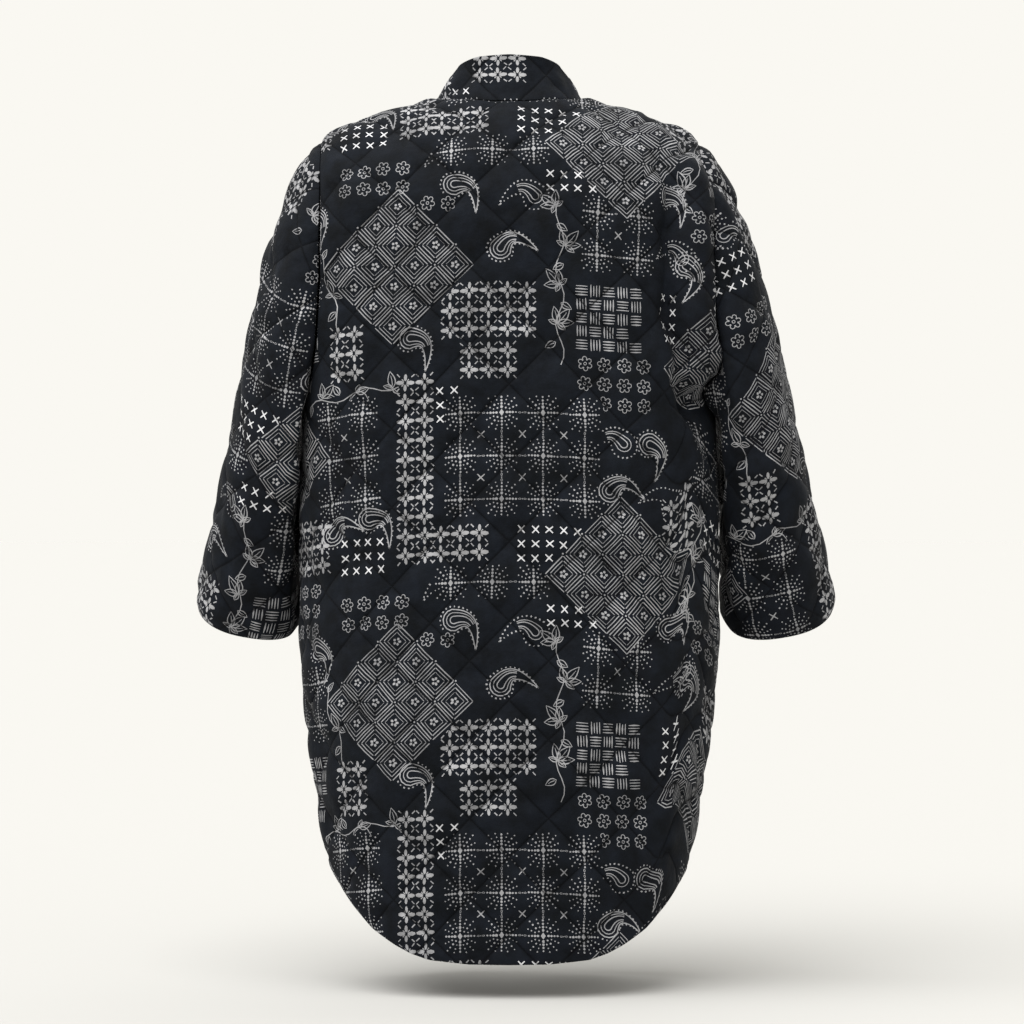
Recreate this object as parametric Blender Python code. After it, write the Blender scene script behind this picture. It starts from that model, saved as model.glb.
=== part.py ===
"""Open-front quilted coat, hollow as if worn, seen from behind in its photograph.

Each cut piece is a thin padded wall. A piece is drawn flat, in the millimetres of its own cloth,
with its outline and the crossing quilt lines, cut into triangles there, and then laid on the coat's
surface. The outer points between the quilt lines are raised, and the inner side stays plain.
Metres, +Z up, front towards -Y, the wearer's left at +X, zero at the top of the neck opening.
"""

import math

import bpy
import numpy as np
from mathutils.geometry import delaunay_2d_cdt

MM = 0.001
LINING_DEPTH = 3.0  # wall under the stitching, mm
PUFF = 5.0  # rise of the padding between the quilt lines, mm
DIAMOND = 84.0  # diagonal of one quilted diamond, mm
STEP = DIAMOND / 4  # spacing of the points that carry the relief, mm
SEAM_HALF_GAP = 0.17  # each piece stands this far back from its seam, mm
EDGE_CLEAR = 8.5  # no relief point lies nearer the outline than this, mm

# Shoulder: the cloth turns from the ridge over to the back and front on a quarter ellipse.
SHOULDER_DROP = 150.0
SHOULDER_RUN = 205.0
RIDGE_FADE = 300.0

# Ridge of the shoulder: distance from the middle, height.
RIDGE = np.array([
    (0, 16), (40, 13), (82, 2), (117, -8), (141, -13), (158, -19), (180, -27),
    (197, -35), (207, -43), (214, -52), (222, -62), (260, -110),
], float)

# Body rings: level, half width, depth of back, depth of front, squareness.
BODY = np.array([
    (0, 213, 118, 108, 3.4),
    (-150, 221, 122, 112, 3.4),
    (-250, 225, 127, 118, 3.3),
    (-335, 227, 131, 123, 2.9),
    (-430, 227, 135, 130, 2.6),
    (-547, 227, 139, 136, 2.4),
    (-613, 227, 139, 137, 2.4),
    (-679, 220, 138, 136, 2.4),
    (-745, 211, 135, 134, 2.4),
    (-811, 199, 131, 130, 2.4),
    (-844, 193, 129, 128, 2.4),
    (-900, 187, 124, 123, 2.4),
    (-1000, 182, 117, 116, 2.4),
], float)

# Armhole edge: level, distance from the middle at the left, at the right.
ARMHOLE = np.array([
    (0, 207, 209), (-60, 206, 210), (-120, 205, 210), (-200, 205, 209),
    (-260, 208, 211), (-300, 214, 216), (-322, 221, 221), (-335, 227, 227),
], float)
UNDERARM = -335.0

# Hem: distance round the body from the side seam, level.
HEM = np.array([
    (0, -845), (25, -848), (47, -855), (66, -867), (89, -883), (108, -898), (137, -914),
    (157, -923), (177, -929), (220, -933), (300, -934),
], float)

# Front edge: level, distance from the middle.
FRONT_EDGE = np.array([(0, 30), (-70, 30), (-150, 33), (-335, 42), (-600, 52), (-950, 60)], float)

FRONT_CORNER = 55.0  # round of the hem's front corners, mm

# Neck opening seen from above: middle, half width, half depth, squareness.
NECK_Y, NECK_WIDE, NECK_DEEP, NECK_SQUARE = -20.0, 84.0, 76.0, 2.2
COLLAR_TOP_Y, COLLAR_TOP_WIDE, COLLAR_TOP_DEEP = -20.0, 61.0, 58.0
# Top of the stand collar: share of the way round from the back, height.
COLLAR_TOP = np.array([(0, 49), (0.2, 47), (0.36, 41), (0.5, 33), (0.7, 12), (1, -20)], float)

# Fold behind the right arm: level, distance of its crease from the middle, strength.
ARM_FOLD = np.array([
    (-60, 156, 0), (-75, 160, 0.45), (-100, 171, 0.8), (-160, 171, 1), (-202, 170, 1), (-239, 173, 1),
    (-277, 179, 1), (-296, 182, 0.85), (-312, 184, 0.15), (-322, 186, 0),
], float)

# Sleeves: side, cuff middle x, cuff half width.
SLEEVES = {"sleeve_left": (1, 288.0, 61.0), "sleeve_right": (-1, 301.0, 62.0)}
SIDE_CLEAR = 12.0  # between a hanging sleeve and the body's side, before padding, mm
CUFF_Y, CUFF_Z, CUFF_DEEP, CUFF_TILT, CUFF_SQUARE = -66.0, -556.0, 73.0, math.radians(27), 2.4

CLOTH = (0.016, 0.019, 0.028, 1.0)


def table(rows, at, column=1):
    """Reads a table at any level, whichever way its first column runs."""
    order = np.argsort(rows[:, 0])
    return np.interp(at, rows[order, 0], rows[order, column])


def smooth(x):
    x = np.clip(x, 0, 1)
    return x * x * (3 - 2 * x)


def level_of(t):
    """Height of a row of the body at its middle: round the shoulder, then straight down."""
    turn = np.minimum(t / SHOULDER_RUN, 1) * math.pi / 2
    return -SHOULDER_DROP * (1 - np.cos(turn)) - np.maximum(t - SHOULDER_RUN, 0)


def row_at(level):
    """The row that lies at a level: level_of turned round."""
    turn = np.arccos(np.clip(1 + level / SHOULDER_DROP, 0, 1))
    return np.where(level > -SHOULDER_DROP, turn * SHOULDER_RUN * 2 / math.pi,
                    SHOULDER_RUN - level - SHOULDER_DROP)


def grid_normals(points):
    """Unit normals of a grid of points, rows by columns."""
    down = np.gradient(points, axis=0)
    across = np.gradient(points, axis=1)
    normal = np.cross(across, down)
    return normal / np.maximum(np.linalg.norm(normal, axis=2, keepdims=True), 1e-9)


def run_length(points, axis, start):
    """Length along one direction of a grid, zero at the given row or column."""
    steps = np.linalg.norm(np.diff(points, axis=axis), axis=2)
    total = np.cumsum(steps, axis=axis)
    pad = [(0, 0), (0, 0)]
    pad[axis] = (1, 0)
    total = np.pad(total, pad)
    return total - np.take(total, [start], axis=axis)


def body_points(t, phi, face):
    """The body's surface at row t and angle phi from the middle; face is 1 at the back, -1 at the front."""
    level = level_of(t)
    wide = table(BODY, level)
    deep = table(BODY, level, 2 if face > 0 else 3)
    square = table(BODY, level, 4)
    radius = (np.abs(np.sin(phi) / wide) ** square + np.abs(np.cos(phi) / deep) ** square) ** (-1 / square)
    x = radius * np.sin(phi)
    turn = np.minimum(t / SHOULDER_RUN, 1) * math.pi / 2
    y = face * radius * np.cos(phi) * np.sin(turn)
    z = level + table(RIDGE, np.abs(x)) * smooth(1 - t / RIDGE_FADE)
    return np.stack([x, y, z], axis=-1)


def arm_fold(points):
    """Push of the soft fold behind the right arm, its crease and the hollow under it, mm."""
    x, y, z = points[..., 0], points[..., 1], points[..., 2]
    behind = smooth(y / 30) * (x < 0)
    out = -x - table(ARM_FOLD, z)
    ridge = table(ARM_FOLD, z, 2) * (17 * np.exp(-((out - 27) / 17) ** 2) - 9 * np.exp(-(out / 9) ** 2))
    hollow = 9 * np.exp(-((-x - 212) / 20) ** 2 - ((z + 326) / 16) ** 2)
    trail = 5 * np.exp(-((-x - 184 + (308 + z) * 0.36) / 9) ** 2) * smooth((-z - 300) / 12) * smooth((430 + z) / 90)
    return (ridge - hollow - trail) * behind


class Cloth:
    """A surface as a grid of points, with the flat lengths across and down at each of them."""

    def __init__(self, points, middle_column, start_row):
        self.points = points
        self.normals = grid_normals(points)
        self.across = run_length(points, 1, middle_column)
        self.down = run_length(points, 0, start_row)

    def sample(self, grid, at):
        """Reads a grid at fractional rows and columns."""
        rows, columns = grid.shape[:2]
        r = np.clip(at[:, 0], 0, rows - 1.001)
        c = np.clip(at[:, 1], 0, columns - 1.001)
        i, j = r.astype(int), c.astype(int)
        fr, fc = r - i, c - j
        if grid.ndim == 3:
            fr, fc = fr[:, None], fc[:, None]
        top = grid[i, j] * (1 - fc) + grid[i, j + 1] * fc
        low = grid[i + 1, j] * (1 - fc) + grid[i + 1, j + 1] * fc
        return top * (1 - fr) + low * fr

    def find(self, flat):
        """Rows and columns whose flat lengths are the ones asked for, by Newton's steps."""
        rows, columns = self.across.shape
        at = np.empty((len(flat), 2))
        at[:, 0] = np.interp(flat[:, 1], self.down[:, columns // 2], np.arange(rows))
        at[:, 1] = np.interp(flat[:, 0], self.across[rows // 2], np.arange(columns))
        slopes = [np.gradient(grid, axis=axis) for grid in (self.across, self.down) for axis in (0, 1)]
        for _ in range(14):
            miss_s = flat[:, 0] - self.sample(self.across, at)
            miss_t = flat[:, 1] - self.sample(self.down, at)
            s_r, s_c, t_r, t_c = (self.sample(slope, at) for slope in slopes)
            area = s_r * t_c - s_c * t_r
            area = np.where(np.abs(area) < 1e-6, -1e-6, area)
            at[:, 0] += np.clip((miss_s * t_c - miss_t * s_c) / area, -6, 6)
            at[:, 1] += np.clip((miss_t * s_r - miss_s * t_r) / area, -6, 6)
        return at

    def flat(self, at):
        return np.stack([self.sample(self.across, at), self.sample(self.down, at)], axis=1)


def body_cloth(face):
    """Back or front of the body as cloth, its fold pushed out along the normals."""
    rows = np.arange(-30.0, 1060.0, 5.0)
    angles = np.radians(np.arange(-104.0, 104.1, 1.0))
    points = body_points(rows[:, None], angles[None, :], face)
    normals = grid_normals(points) * face
    points = points + normals * arm_fold(points)[..., None]
    cloth = Cloth(points, 104, int(np.argmin(np.abs(rows - SHOULDER_RUN))))
    cloth.rows, cloth.angles, cloth.face = rows, angles, face
    cloth.normals = grid_normals(points) * face
    return cloth


def body_place(cloth, t, phi):
    """Fractional grid place of row t and angle phi."""
    rows = (np.asarray(t) - cloth.rows[0]) / 5.0
    columns = np.degrees(phi) - np.degrees(cloth.angles[0])
    return np.stack(np.broadcast_arrays(rows, columns), axis=1)


def angle_at(x, t, face):
    """Angle at which row t lies x from the middle."""
    angles = np.radians(np.linspace(0, 90, 721))
    return np.array([
        np.interp(one_x, body_points(np.full(721, one_t), angles, face)[:, 0], angles)
        for one_x, one_t in zip(np.atleast_1d(x), np.atleast_1d(t))
    ])


def spaced(points, spacing=STEP):
    """Fractions that cut a line of points into equal lengths of about the spacing."""
    length = np.concatenate([[0], np.cumsum(np.linalg.norm(np.diff(points, axis=0), axis=1))])
    count = max(2, round(length[-1] / spacing))
    return np.interp(np.linspace(0, length[-1], count + 1), length, np.linspace(0, 1, len(points)))


def armhole_line(side, face):
    """Rows and angles of the armhole edge from the shoulder to the underarm."""
    levels = -UNDERARM * (np.cos(np.linspace(0, math.pi, 160)) - 1) / 2
    t = row_at(levels)
    phi = angle_at(table(ARMHOLE, levels, 1 if side > 0 else 2), t, face)
    phi[-1] = math.pi / 2
    return t, phi


def neck_xy(turn):
    """Neck opening seen from above; turn is 0 at the back, pi at the front."""
    radius = (np.abs(np.sin(turn) / NECK_WIDE) ** NECK_SQUARE
              + np.abs(np.cos(turn) / NECK_DEEP) ** NECK_SQUARE) ** (-1 / NECK_SQUARE)
    return radius * np.sin(turn), NECK_Y + radius * np.cos(turn)


def neck_row(x, y, face):
    """Row and angle at which the body's surface passes over a point seen from above."""
    angles = np.radians(np.linspace(0, 90, 721))
    found = []
    for one_x, one_y in zip(x, y):
        t = 60.0
        for _ in range(40):
            phi = np.interp(abs(one_x), body_points(np.full(721, t), angles, face)[:, 0], angles)
            full = body_points(np.array([SHOULDER_RUN]), np.array([phi]), face)[0, 1]
            share = np.clip(one_y / full, 0, 0.999)
            t = 0.5 * t + 0.5 * math.asin(share) * SHOULDER_RUN * 2 / math.pi
        found.append((t, math.copysign(phi, one_x) if one_x else 0.0))
    return np.array(found).T


NECK_SIDE_TURN = float(np.interp(0.0, -neck_xy(np.linspace(1.2, 2.2, 400))[1], np.linspace(1.2, 2.2, 400)))
NECK_FRONT_TURN = float(np.interp(
    -FRONT_EDGE[1, 1], -neck_xy(np.linspace(2.2, math.pi, 400))[0], np.linspace(2.2, math.pi, 400)))


def line_on(cloth, t, phi):
    """An outline stretch: flat places, points and normals at rows t and angles phi, evenly spaced."""
    at = body_place(cloth, t, phi)
    cuts = spaced(cloth.sample(cloth.points, at))
    share = np.linspace(0, 1, len(at))
    at = np.stack([np.interp(cuts, share, at[:, 0]), np.interp(cuts, share, at[:, 1])], axis=1)
    return cloth.flat(at), cloth.sample(cloth.points, at), cloth.sample(cloth.normals, at)


def neck_line(face):
    """Rows and angles of the neck edge on one side, from the shoulder to the middle back or the front edge."""
    x, y = neck_xy(np.linspace(NECK_SIDE_TURN, 0 if face > 0 else NECK_FRONT_TURN, 60))
    y[0] = 0
    t, phi = neck_row(x, y, face)
    t[0] = 0
    return t, phi


def hem_line(cloth, side):
    """Rows and angles of the hem on one side, from the side seam to the middle or the front edge."""
    phi = np.linspace(math.pi / 2, 0, 200)
    rows = np.full(200, 1000.0)
    for _ in range(12):
        s = np.abs(cloth.sample(cloth.across, body_place(cloth, rows, side * phi)))
        level = table(HEM, s[0] - s)
        rows = row_at(level)
    if cloth.face < 0:
        x = np.abs(cloth.sample(cloth.points, body_place(cloth, rows, side * phi))[:, 0])
        stop = int(np.argmax(x < table(FRONT_EDGE, level)))
        rows, phi, x = rows[:stop + 1], phi[:stop + 1], x[:stop + 1]
        # The front corner of the hem is rounded on a quarter circle.
        past = np.clip(1 - (x - x[stop]) / FRONT_CORNER, 0, 1)
        rows = rows - FRONT_CORNER * (1 - np.sqrt(1 - past ** 2))
    return rows, phi


def body_outline(cloth, kind):
    """Outline of the back or one front, from its neck round by shoulder, armhole, side and hem."""
    face = cloth.face

    def half(side):
        neck_t, neck_phi = neck_line(face)
        tip = angle_at(table(ARMHOLE, 0, 1 if side > 0 else 2), 0.0, face)[0]
        shoulder = np.linspace(neck_phi[0], tip, 60)
        hem_t, hem_phi = hem_line(cloth, side)
        lines = [
            (neck_t[::-1], neck_phi[::-1]),
            (np.zeros(60), shoulder),
            armhole_line(side, face),
            (row_at(np.linspace(UNDERARM, HEM[0, 1], 60)), np.full(60, math.pi / 2)),
            (hem_t, hem_phi),
        ]
        if face < 0:
            levels = np.linspace(level_of(hem_t[-1]), level_of(neck_t[-1]), 80)
            t = row_at(levels)
            phi = angle_at(table(FRONT_EDGE, levels), t, face)
            phi[0], phi[-1] = hem_phi[-1], neck_phi[-1]
            lines.append((t, phi))
        return [(t, side * phi) for t, phi in lines]

    if kind == "back":
        lines = half(1) + [(t[::-1], phi[::-1]) for t, phi in half(-1)[::-1]]
    else:
        lines = half(1 if kind == "front_left" else -1)
    stretches = [line_on(cloth, t, phi) for t, phi in lines]
    return [np.concatenate([part[i][:-1] for part in stretches]) for i in range(3)]


def stand_off(points, from_armhole):
    """How far a sleeve's point moves out, so that the sleeve hangs clear of the body's side, mm."""
    x, y, z = np.abs(points[..., 0]), points[..., 1], points[..., 2]
    wide, square = table(BODY, z), table(BODY, z, 4)
    deep = np.where(y > 0, table(BODY, z, 2), table(BODY, z, 3))
    body_x = wide * np.clip(1 - (np.abs(y) / deep) ** square, 0, 1) ** (1 / square)
    reach = from_armhole[..., 0]
    short = (body_x + SIDE_CLEAR * smooth(reach / 70) - x) / 4
    return 4 * np.logaddexp(0, short) * smooth(reach / 30) * smooth((-z - 290) / 60)


def room(points):
    """Share of the padding's rise that fits: less in the fold under the arm."""
    away = np.linalg.norm((np.abs(points[:, 0]) - 230, points[:, 1] * 0.55, points[:, 2] - UNDERARM + 8), axis=0)
    return smooth((away - 12) / 75)


def sleeve_grid(side, cuff_x, cuff_half, back, front):
    """Sleeve as cloth: each line runs from the armhole to the cuff, leaving and arriving on a set slope."""
    count = 73
    ring = []
    for cloth in (back, front):
        t, phi = armhole_line(side, cloth.face)
        at = body_place(cloth, t, side * phi)
        dense = cloth.sample(cloth.points, at)
        length = np.concatenate([[0], np.cumsum(np.linalg.norm(np.diff(dense, axis=0), axis=1))])
        share = np.interp(np.linspace(0, length[-1], count), length, np.linspace(0, 1, len(dense)))
        places = np.stack([np.interp(share, np.linspace(0, 1, len(at)), at[:, k]) for k in (0, 1)], axis=1)
        ring.append(cloth.sample(cloth.points, places))
    half_turn = np.linspace(0, math.pi, count)
    # Turns run from the underarm by the front to the outer line and on by the back.
    start = np.concatenate([ring[1][::-1], ring[0][1:]])
    turn = np.concatenate([-half_turn[::-1], half_turn[1:]])
    power = 2 / CUFF_SQUARE
    wide = np.sign(np.cos(turn)) * np.abs(np.cos(turn)) ** power
    deep = np.sign(np.sin(turn)) * np.abs(np.sin(turn)) ** power
    end = np.stack([
        side * (cuff_x + cuff_half * wide),
        CUFF_Y + CUFF_DEEP * math.cos(CUFF_TILT) * deep,
        CUFF_Z + 10 * wide - CUFF_DEEP * math.sin(CUFF_TILT) * deep,
    ], axis=1)
    reach = np.linalg.norm(end - start, axis=1)[:, None]
    out = (1 + np.cos(turn)) / 2
    leave = np.stack([side * (0.12 + 0.60 * out), 0.30 * np.sin(turn), -0.98 + 0.29 * out], axis=1)
    arrive = np.stack([side * (0.06 + 0.23 * out), np.full(len(turn), -0.42), -0.88 - 0.04 * out], axis=1)
    leave *= reach * (0.75 - 0.20 * out[:, None])
    arrive *= reach
    v = np.linspace(0, 1, 240)[:, None, None]
    line = ((2 * v ** 3 - 3 * v ** 2 + 1) * start + (v ** 3 - 2 * v ** 2 + v) * leave
            + (3 * v ** 2 - 2 * v ** 3) * end + (v ** 3 - v ** 2) * arrive)
    line[..., 0] += side * stand_off(line, v * reach)
    before = start - leave / np.linalg.norm(leave, axis=1, keepdims=True) * 60
    line = np.concatenate([before[None], line])
    steps = np.linalg.norm(np.diff(line, axis=0), axis=2)
    from_cuff = np.concatenate([np.cumsum(steps[::-1], axis=0)[::-1], np.zeros((1, len(turn)))])
    levels = np.arange(0.0, from_cuff[1].max() + 30, 4.0)
    points = np.empty((len(levels), len(turn), 3))
    for j in range(len(turn)):
        for axis in range(3):
            points[:, j, axis] = np.interp(levels, from_cuff[::-1, j], line[::-1, j, axis])
    cloth = Cloth(points, count - 1, 0)
    cloth.normals = grid_normals(points) * side
    cloth.lengths = from_cuff[1]
    return cloth


def sleeve_outline(cloth, back, front, side):
    """Outline of a sleeve: cuff, underarm seam, armhole, underarm seam again."""
    columns = cloth.points.shape[1]
    middle = (columns - 1) // 2
    top = cloth.lengths / 4.0
    cuff = np.stack([np.zeros(400), np.linspace(0, columns - 1, 400)], axis=1)
    cuts = spaced(cloth.sample(cloth.points, cuff), STEP * 0.9)
    cuff = np.stack([np.zeros(len(cuts)), cuts * (columns - 1)], axis=1)
    seam_length = cloth.lengths[0]
    count = max(2, round(seam_length / STEP))
    climb = np.linspace(0, seam_length / 4.0, count + 1)
    right = np.stack([climb, np.full(count + 1, columns - 1.0)], axis=1)
    left = np.stack([climb[::-1], np.zeros(count + 1)], axis=1)
    # The armhole uses the very points of the back's and the front's edges.
    heads = []
    for body in (back, front):
        t, phi = armhole_line(side, body.face)
        edge = line_on(body, t, side * phi)[1]
        heads.append((edge, middle + np.linspace(0, 1, len(edge)) * middle * body.face))
    edge = np.concatenate([heads[0][0][::-1], heads[1][0][1:]])
    column = np.concatenate([heads[0][1][::-1], heads[1][1][1:]])
    head = np.stack([np.interp(column, np.arange(columns), top), column], axis=1)
    parts = [cuff, right, head, left]
    flat, points, normals = [
        [read(part)[:-1] for part in parts]
        for read in (cloth.flat, lambda at: cloth.sample(cloth.points, at),
                     lambda at: cloth.sample(cloth.normals, at))
    ]
    points[2] = edge[:-1]
    # Both sides of the underarm seam meet in the same points.
    points[3] = np.concatenate([edge[:1], points[1][:0:-1]])
    points[0][0] = points[1][0]
    return [np.concatenate(part) for part in (flat, points, normals)]


def neck_points(back, front):
    """The neck edge in space from the left front end by the back to the right one, as the body has it."""
    ends = []
    for side in (1, -1):
        # Run as the body outline does, so that both cut this edge at the same points.
        front_t, front_phi = neck_line(-1)
        front_edge = line_on(front, front_t[::-1], side * front_phi[::-1])[1]
        back_t, back_phi = neck_line(1)
        back_edge = line_on(back, back_t[::-1], side * back_phi[::-1])[1][::-1]
        ends.append(np.concatenate([front_edge[:-1], back_edge]))
    return np.concatenate([ends[0], ends[1][::-1][1:]])


def collar_grid(edge):
    """Stand collar as cloth, from the neck edge up to its own smaller ring."""
    length = np.concatenate([[0], np.cumsum(np.linalg.norm(np.diff(edge, axis=0), axis=1))])
    where = length / length[-1] * 2 - 1
    turn = np.arctan2(edge[:, 0], edge[:, 1] - NECK_Y)
    radius = (np.abs(np.sin(turn) / COLLAR_TOP_WIDE) ** 2.3
              + np.abs(np.cos(turn) / COLLAR_TOP_DEEP) ** 2.3) ** (-1 / 2.3)
    top = np.stack([radius * np.sin(turn), COLLAR_TOP_Y + radius * np.cos(turn),
                    table(COLLAR_TOP, np.abs(where))], axis=1)
    rise = np.linspace(0, 1, 17)[:, None, None]
    points = edge + (top - edge) * rise
    # The collar turns up quickly from the neck and then stands nearly straight.
    points[..., :2] = edge[:, :2] + (top - edge)[:, :2] * (1 - (1 - rise) ** 1.9)
    dense = np.linspace(0, 1, 241)
    fine = np.stack([
        np.stack([np.interp(dense, (where + 1) / 2, row[:, axis]) for axis in range(3)], axis=1)
        for row in points
    ])
    cloth = Cloth(fine, 120, 0)
    normals = grid_normals(fine)
    outward = fine[8, 120, 1] - NECK_Y
    cloth.normals = normals * (1 if normals[8, 120, 1] * outward > 0 else -1)
    cloth.shares = (where + 1) / 2
    return cloth


def collar_outline(cloth, edge):
    columns = cloth.points.shape[1] - 1
    base = np.stack([np.zeros(len(edge)), cloth.shares * columns], axis=1)
    climb = np.linspace(0, 16, 4)
    left = np.stack([climb, np.full(4, 0.0)], axis=1)
    right = np.stack([climb, np.full(4, float(columns))], axis=1)
    top_line = np.stack([np.full(300, 16.0), np.linspace(0, columns, 300)], axis=1)
    cuts = spaced(cloth.sample(cloth.points, top_line), STEP * 0.8)
    top = np.stack([np.full(len(cuts), 16.0), cuts * columns], axis=1)
    parts = [base, right, top[::-1], left[::-1]]
    flat = np.concatenate([cloth.flat(part)[:-1] for part in parts])
    points = np.concatenate([cloth.sample(cloth.points, part)[:-1] for part in parts])
    normals = np.concatenate([cloth.sample(cloth.normals, part)[:-1] for part in parts])
    points[:len(edge) - 1] = edge[:-1]
    points[len(edge) - 1] = edge[-1]
    return flat, points, normals


def inside(polygon, points):
    """Which points lie inside a closed outline."""
    x, y = points[:, 0][:, None], points[:, 1][:, None]
    x0, y0 = polygon[:, 0][None], polygon[:, 1][None]
    x1, y1 = np.roll(polygon[:, 0], -1)[None], np.roll(polygon[:, 1], -1)[None]
    crosses = (y0 > y) != (y1 > y)
    with np.errstate(divide="ignore", invalid="ignore"):
        at = x0 + (y - y0) * (x1 - x0) / (y1 - y0)
    return (crosses & (x < at)).sum(axis=1) % 2 == 1


def outline_distance(polygon, points):
    """Distance of each point from the outline."""
    start = polygon[None]
    along = np.roll(polygon, -1, axis=0)[None] - start
    offset = points[:, None] - start
    share = np.clip((offset * along).sum(2) / np.maximum((along ** 2).sum(2), 1e-9), 0, 1)
    return np.linalg.norm(offset - along * share[..., None], axis=2).min(axis=1)


def puff(flat):
    """Rise of the padding at a place of the flat cloth: none on the quilt lines, full between them."""
    u = flat[:, 0] / DIAMOND
    v = flat[:, 1] / DIAMOND
    return PUFF * np.abs(np.sin(math.pi * (u + v)) * np.sin(math.pi * (u - v))) ** 0.6


def cut_flat(polygon):
    """Triangles of a flat piece, with its relief points and quilt lines."""
    low = np.floor(polygon.min(axis=0) / STEP).astype(int)
    high = np.ceil(polygon.max(axis=0) / STEP).astype(int)
    columns, rows = np.meshgrid(np.arange(low[0], high[0] + 1), np.arange(low[1], high[1] + 1))
    index = np.stack([columns.ravel(), rows.ravel()], axis=1)
    grid = index * STEP
    keep = inside(polygon, grid) & (outline_distance(polygon, grid) > EDGE_CLEAR)
    index, grid = index[keep], grid[keep]
    count = len(polygon)
    number = {tuple(place): count + k for k, place in enumerate(index)}
    edges = []
    for (i, j), k in number.items():
        for side in (1, -1):
            if (i - side * j) % 4 == 0 and (i + side, j + 1) in number:
                edges.append((k, number[(i + side, j + 1)]))
    edges = np.array(edges).reshape(-1, 2)
    every = np.concatenate([polygon, grid])
    if len(edges):
        middle = every[edges].mean(axis=1)
        edges = edges[inside(polygon, middle) & (outline_distance(polygon, middle) > 4)]
    result = delaunay_2d_cdt(
        [tuple(place) for place in every], [tuple(map(int, edge)) for edge in edges],
        [list(range(count))], 1, 1e-4, True)
    places = np.array([tuple(place) for place in result[0]])
    faces = np.array([list(face) for face in result[2]])
    order = np.array([min(origin) if origin else -1 for origin in result[3]])
    # The cut also fills the hollows of the outline, and those triangles are dropped.
    corner = places[faces]
    sides = corner[:, 1:] - corner[:, :1]
    area = np.abs(sides[:, 0, 0] * sides[:, 1, 1] - sides[:, 0, 1] * sides[:, 1, 0]) / 2
    faces = faces[inside(polygon, corner.mean(axis=1)) & (area > 0.01)]
    return places, faces, order


def piece_surface(cloth, outline):
    """Lays a flat piece on its surface: flat places, points, normals, triangles, and which are the outline's."""
    polygon, edge_points, edge_normals = outline
    flat, faces, order = cut_flat(polygon)
    at = cloth.find(flat)
    points = cloth.sample(cloth.points, at)
    normals = cloth.sample(cloth.normals, at)
    on_edge = (order >= 0) & (order < len(polygon))
    points[on_edge] = edge_points[order[on_edge]]
    normals[on_edge] = edge_normals[order[on_edge]]
    normals /= np.linalg.norm(normals, axis=1, keepdims=True)
    facing = np.cross(points[faces[:, 1]] - points[faces[:, 0]], points[faces[:, 2]] - points[faces[:, 0]])
    if (facing * normals[faces[:, 0]]).sum() < 0:
        faces = faces[:, ::-1]
    rise = np.where(on_edge, 0.0, puff(flat) * room(points))
    return {"flat": flat, "points": points, "normals": normals, "faces": faces, "edge": on_edge, "rise": rise}


def weld(piece):
    """Joins a piece's own points that meet, as at a sleeve's underarm seam."""
    keys = np.round(piece["points"] / 0.02).astype(int)
    _, first, back = np.unique(keys, axis=0, return_index=True, return_inverse=True)
    back = back.reshape(-1)
    for name in ("flat", "points", "normals", "edge", "rise"):
        piece[name] = piece[name][first]
    faces = back[piece["faces"]]
    whole = (faces[:, 0] != faces[:, 1]) & (faces[:, 1] != faces[:, 2]) & (faces[:, 0] != faces[:, 2])
    piece["faces"] = faces[whole]


def rim_edges(faces):
    """Edges with one face only, in that face's order."""
    edges = np.concatenate([faces[:, [0, 1]], faces[:, [1, 2]], faces[:, [2, 0]]])
    known = {tuple(edge) for edge in edges}
    return np.array([edge for edge in edges if (edge[1], edge[0]) not in known])


def share_seam_normals(pieces):
    """At a seam the pieces take one direction for their walls, so that the gap stays even."""
    total = {}
    for piece in pieces.values():
        for k in np.flatnonzero(piece["edge"]):
            key = tuple(np.round(piece["points"][k] / 0.05).astype(int))
            total.setdefault(key, []).append((piece, k))
    for users in total.values():
        if len(users) < 2:
            continue
        normals = np.array([piece["normals"][k] for piece, k in users])
        mean = normals.mean(axis=0)
        mean /= np.linalg.norm(mean)
        stretch = min(1.5, 1 / max(0.3, float((normals @ mean).mean())))
        for piece, k in users:
            piece["normals"][k] = mean * stretch


def pull_in(piece):
    """Draws a piece's rim back from its seams."""
    points, faces, normals = piece["points"], piece["faces"], piece["normals"]
    move = np.zeros_like(points)
    for a, b in rim_edges(faces):
        along = points[b] - points[a]
        inward = np.cross(normals[a] + normals[b], along)
        inward /= max(np.linalg.norm(inward), 1e-9)
        move[a] += inward
        move[b] += inward
    length = np.linalg.norm(move, axis=1, keepdims=True)
    # Two equal pushes give 2, a corner gives less and moves further.
    unit = move / np.maximum(length, 1e-9)
    far = np.minimum(2 / np.maximum(length, 1.0), 1.6)
    piece["points"] = points + unit * far * SEAM_HALF_GAP


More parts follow.
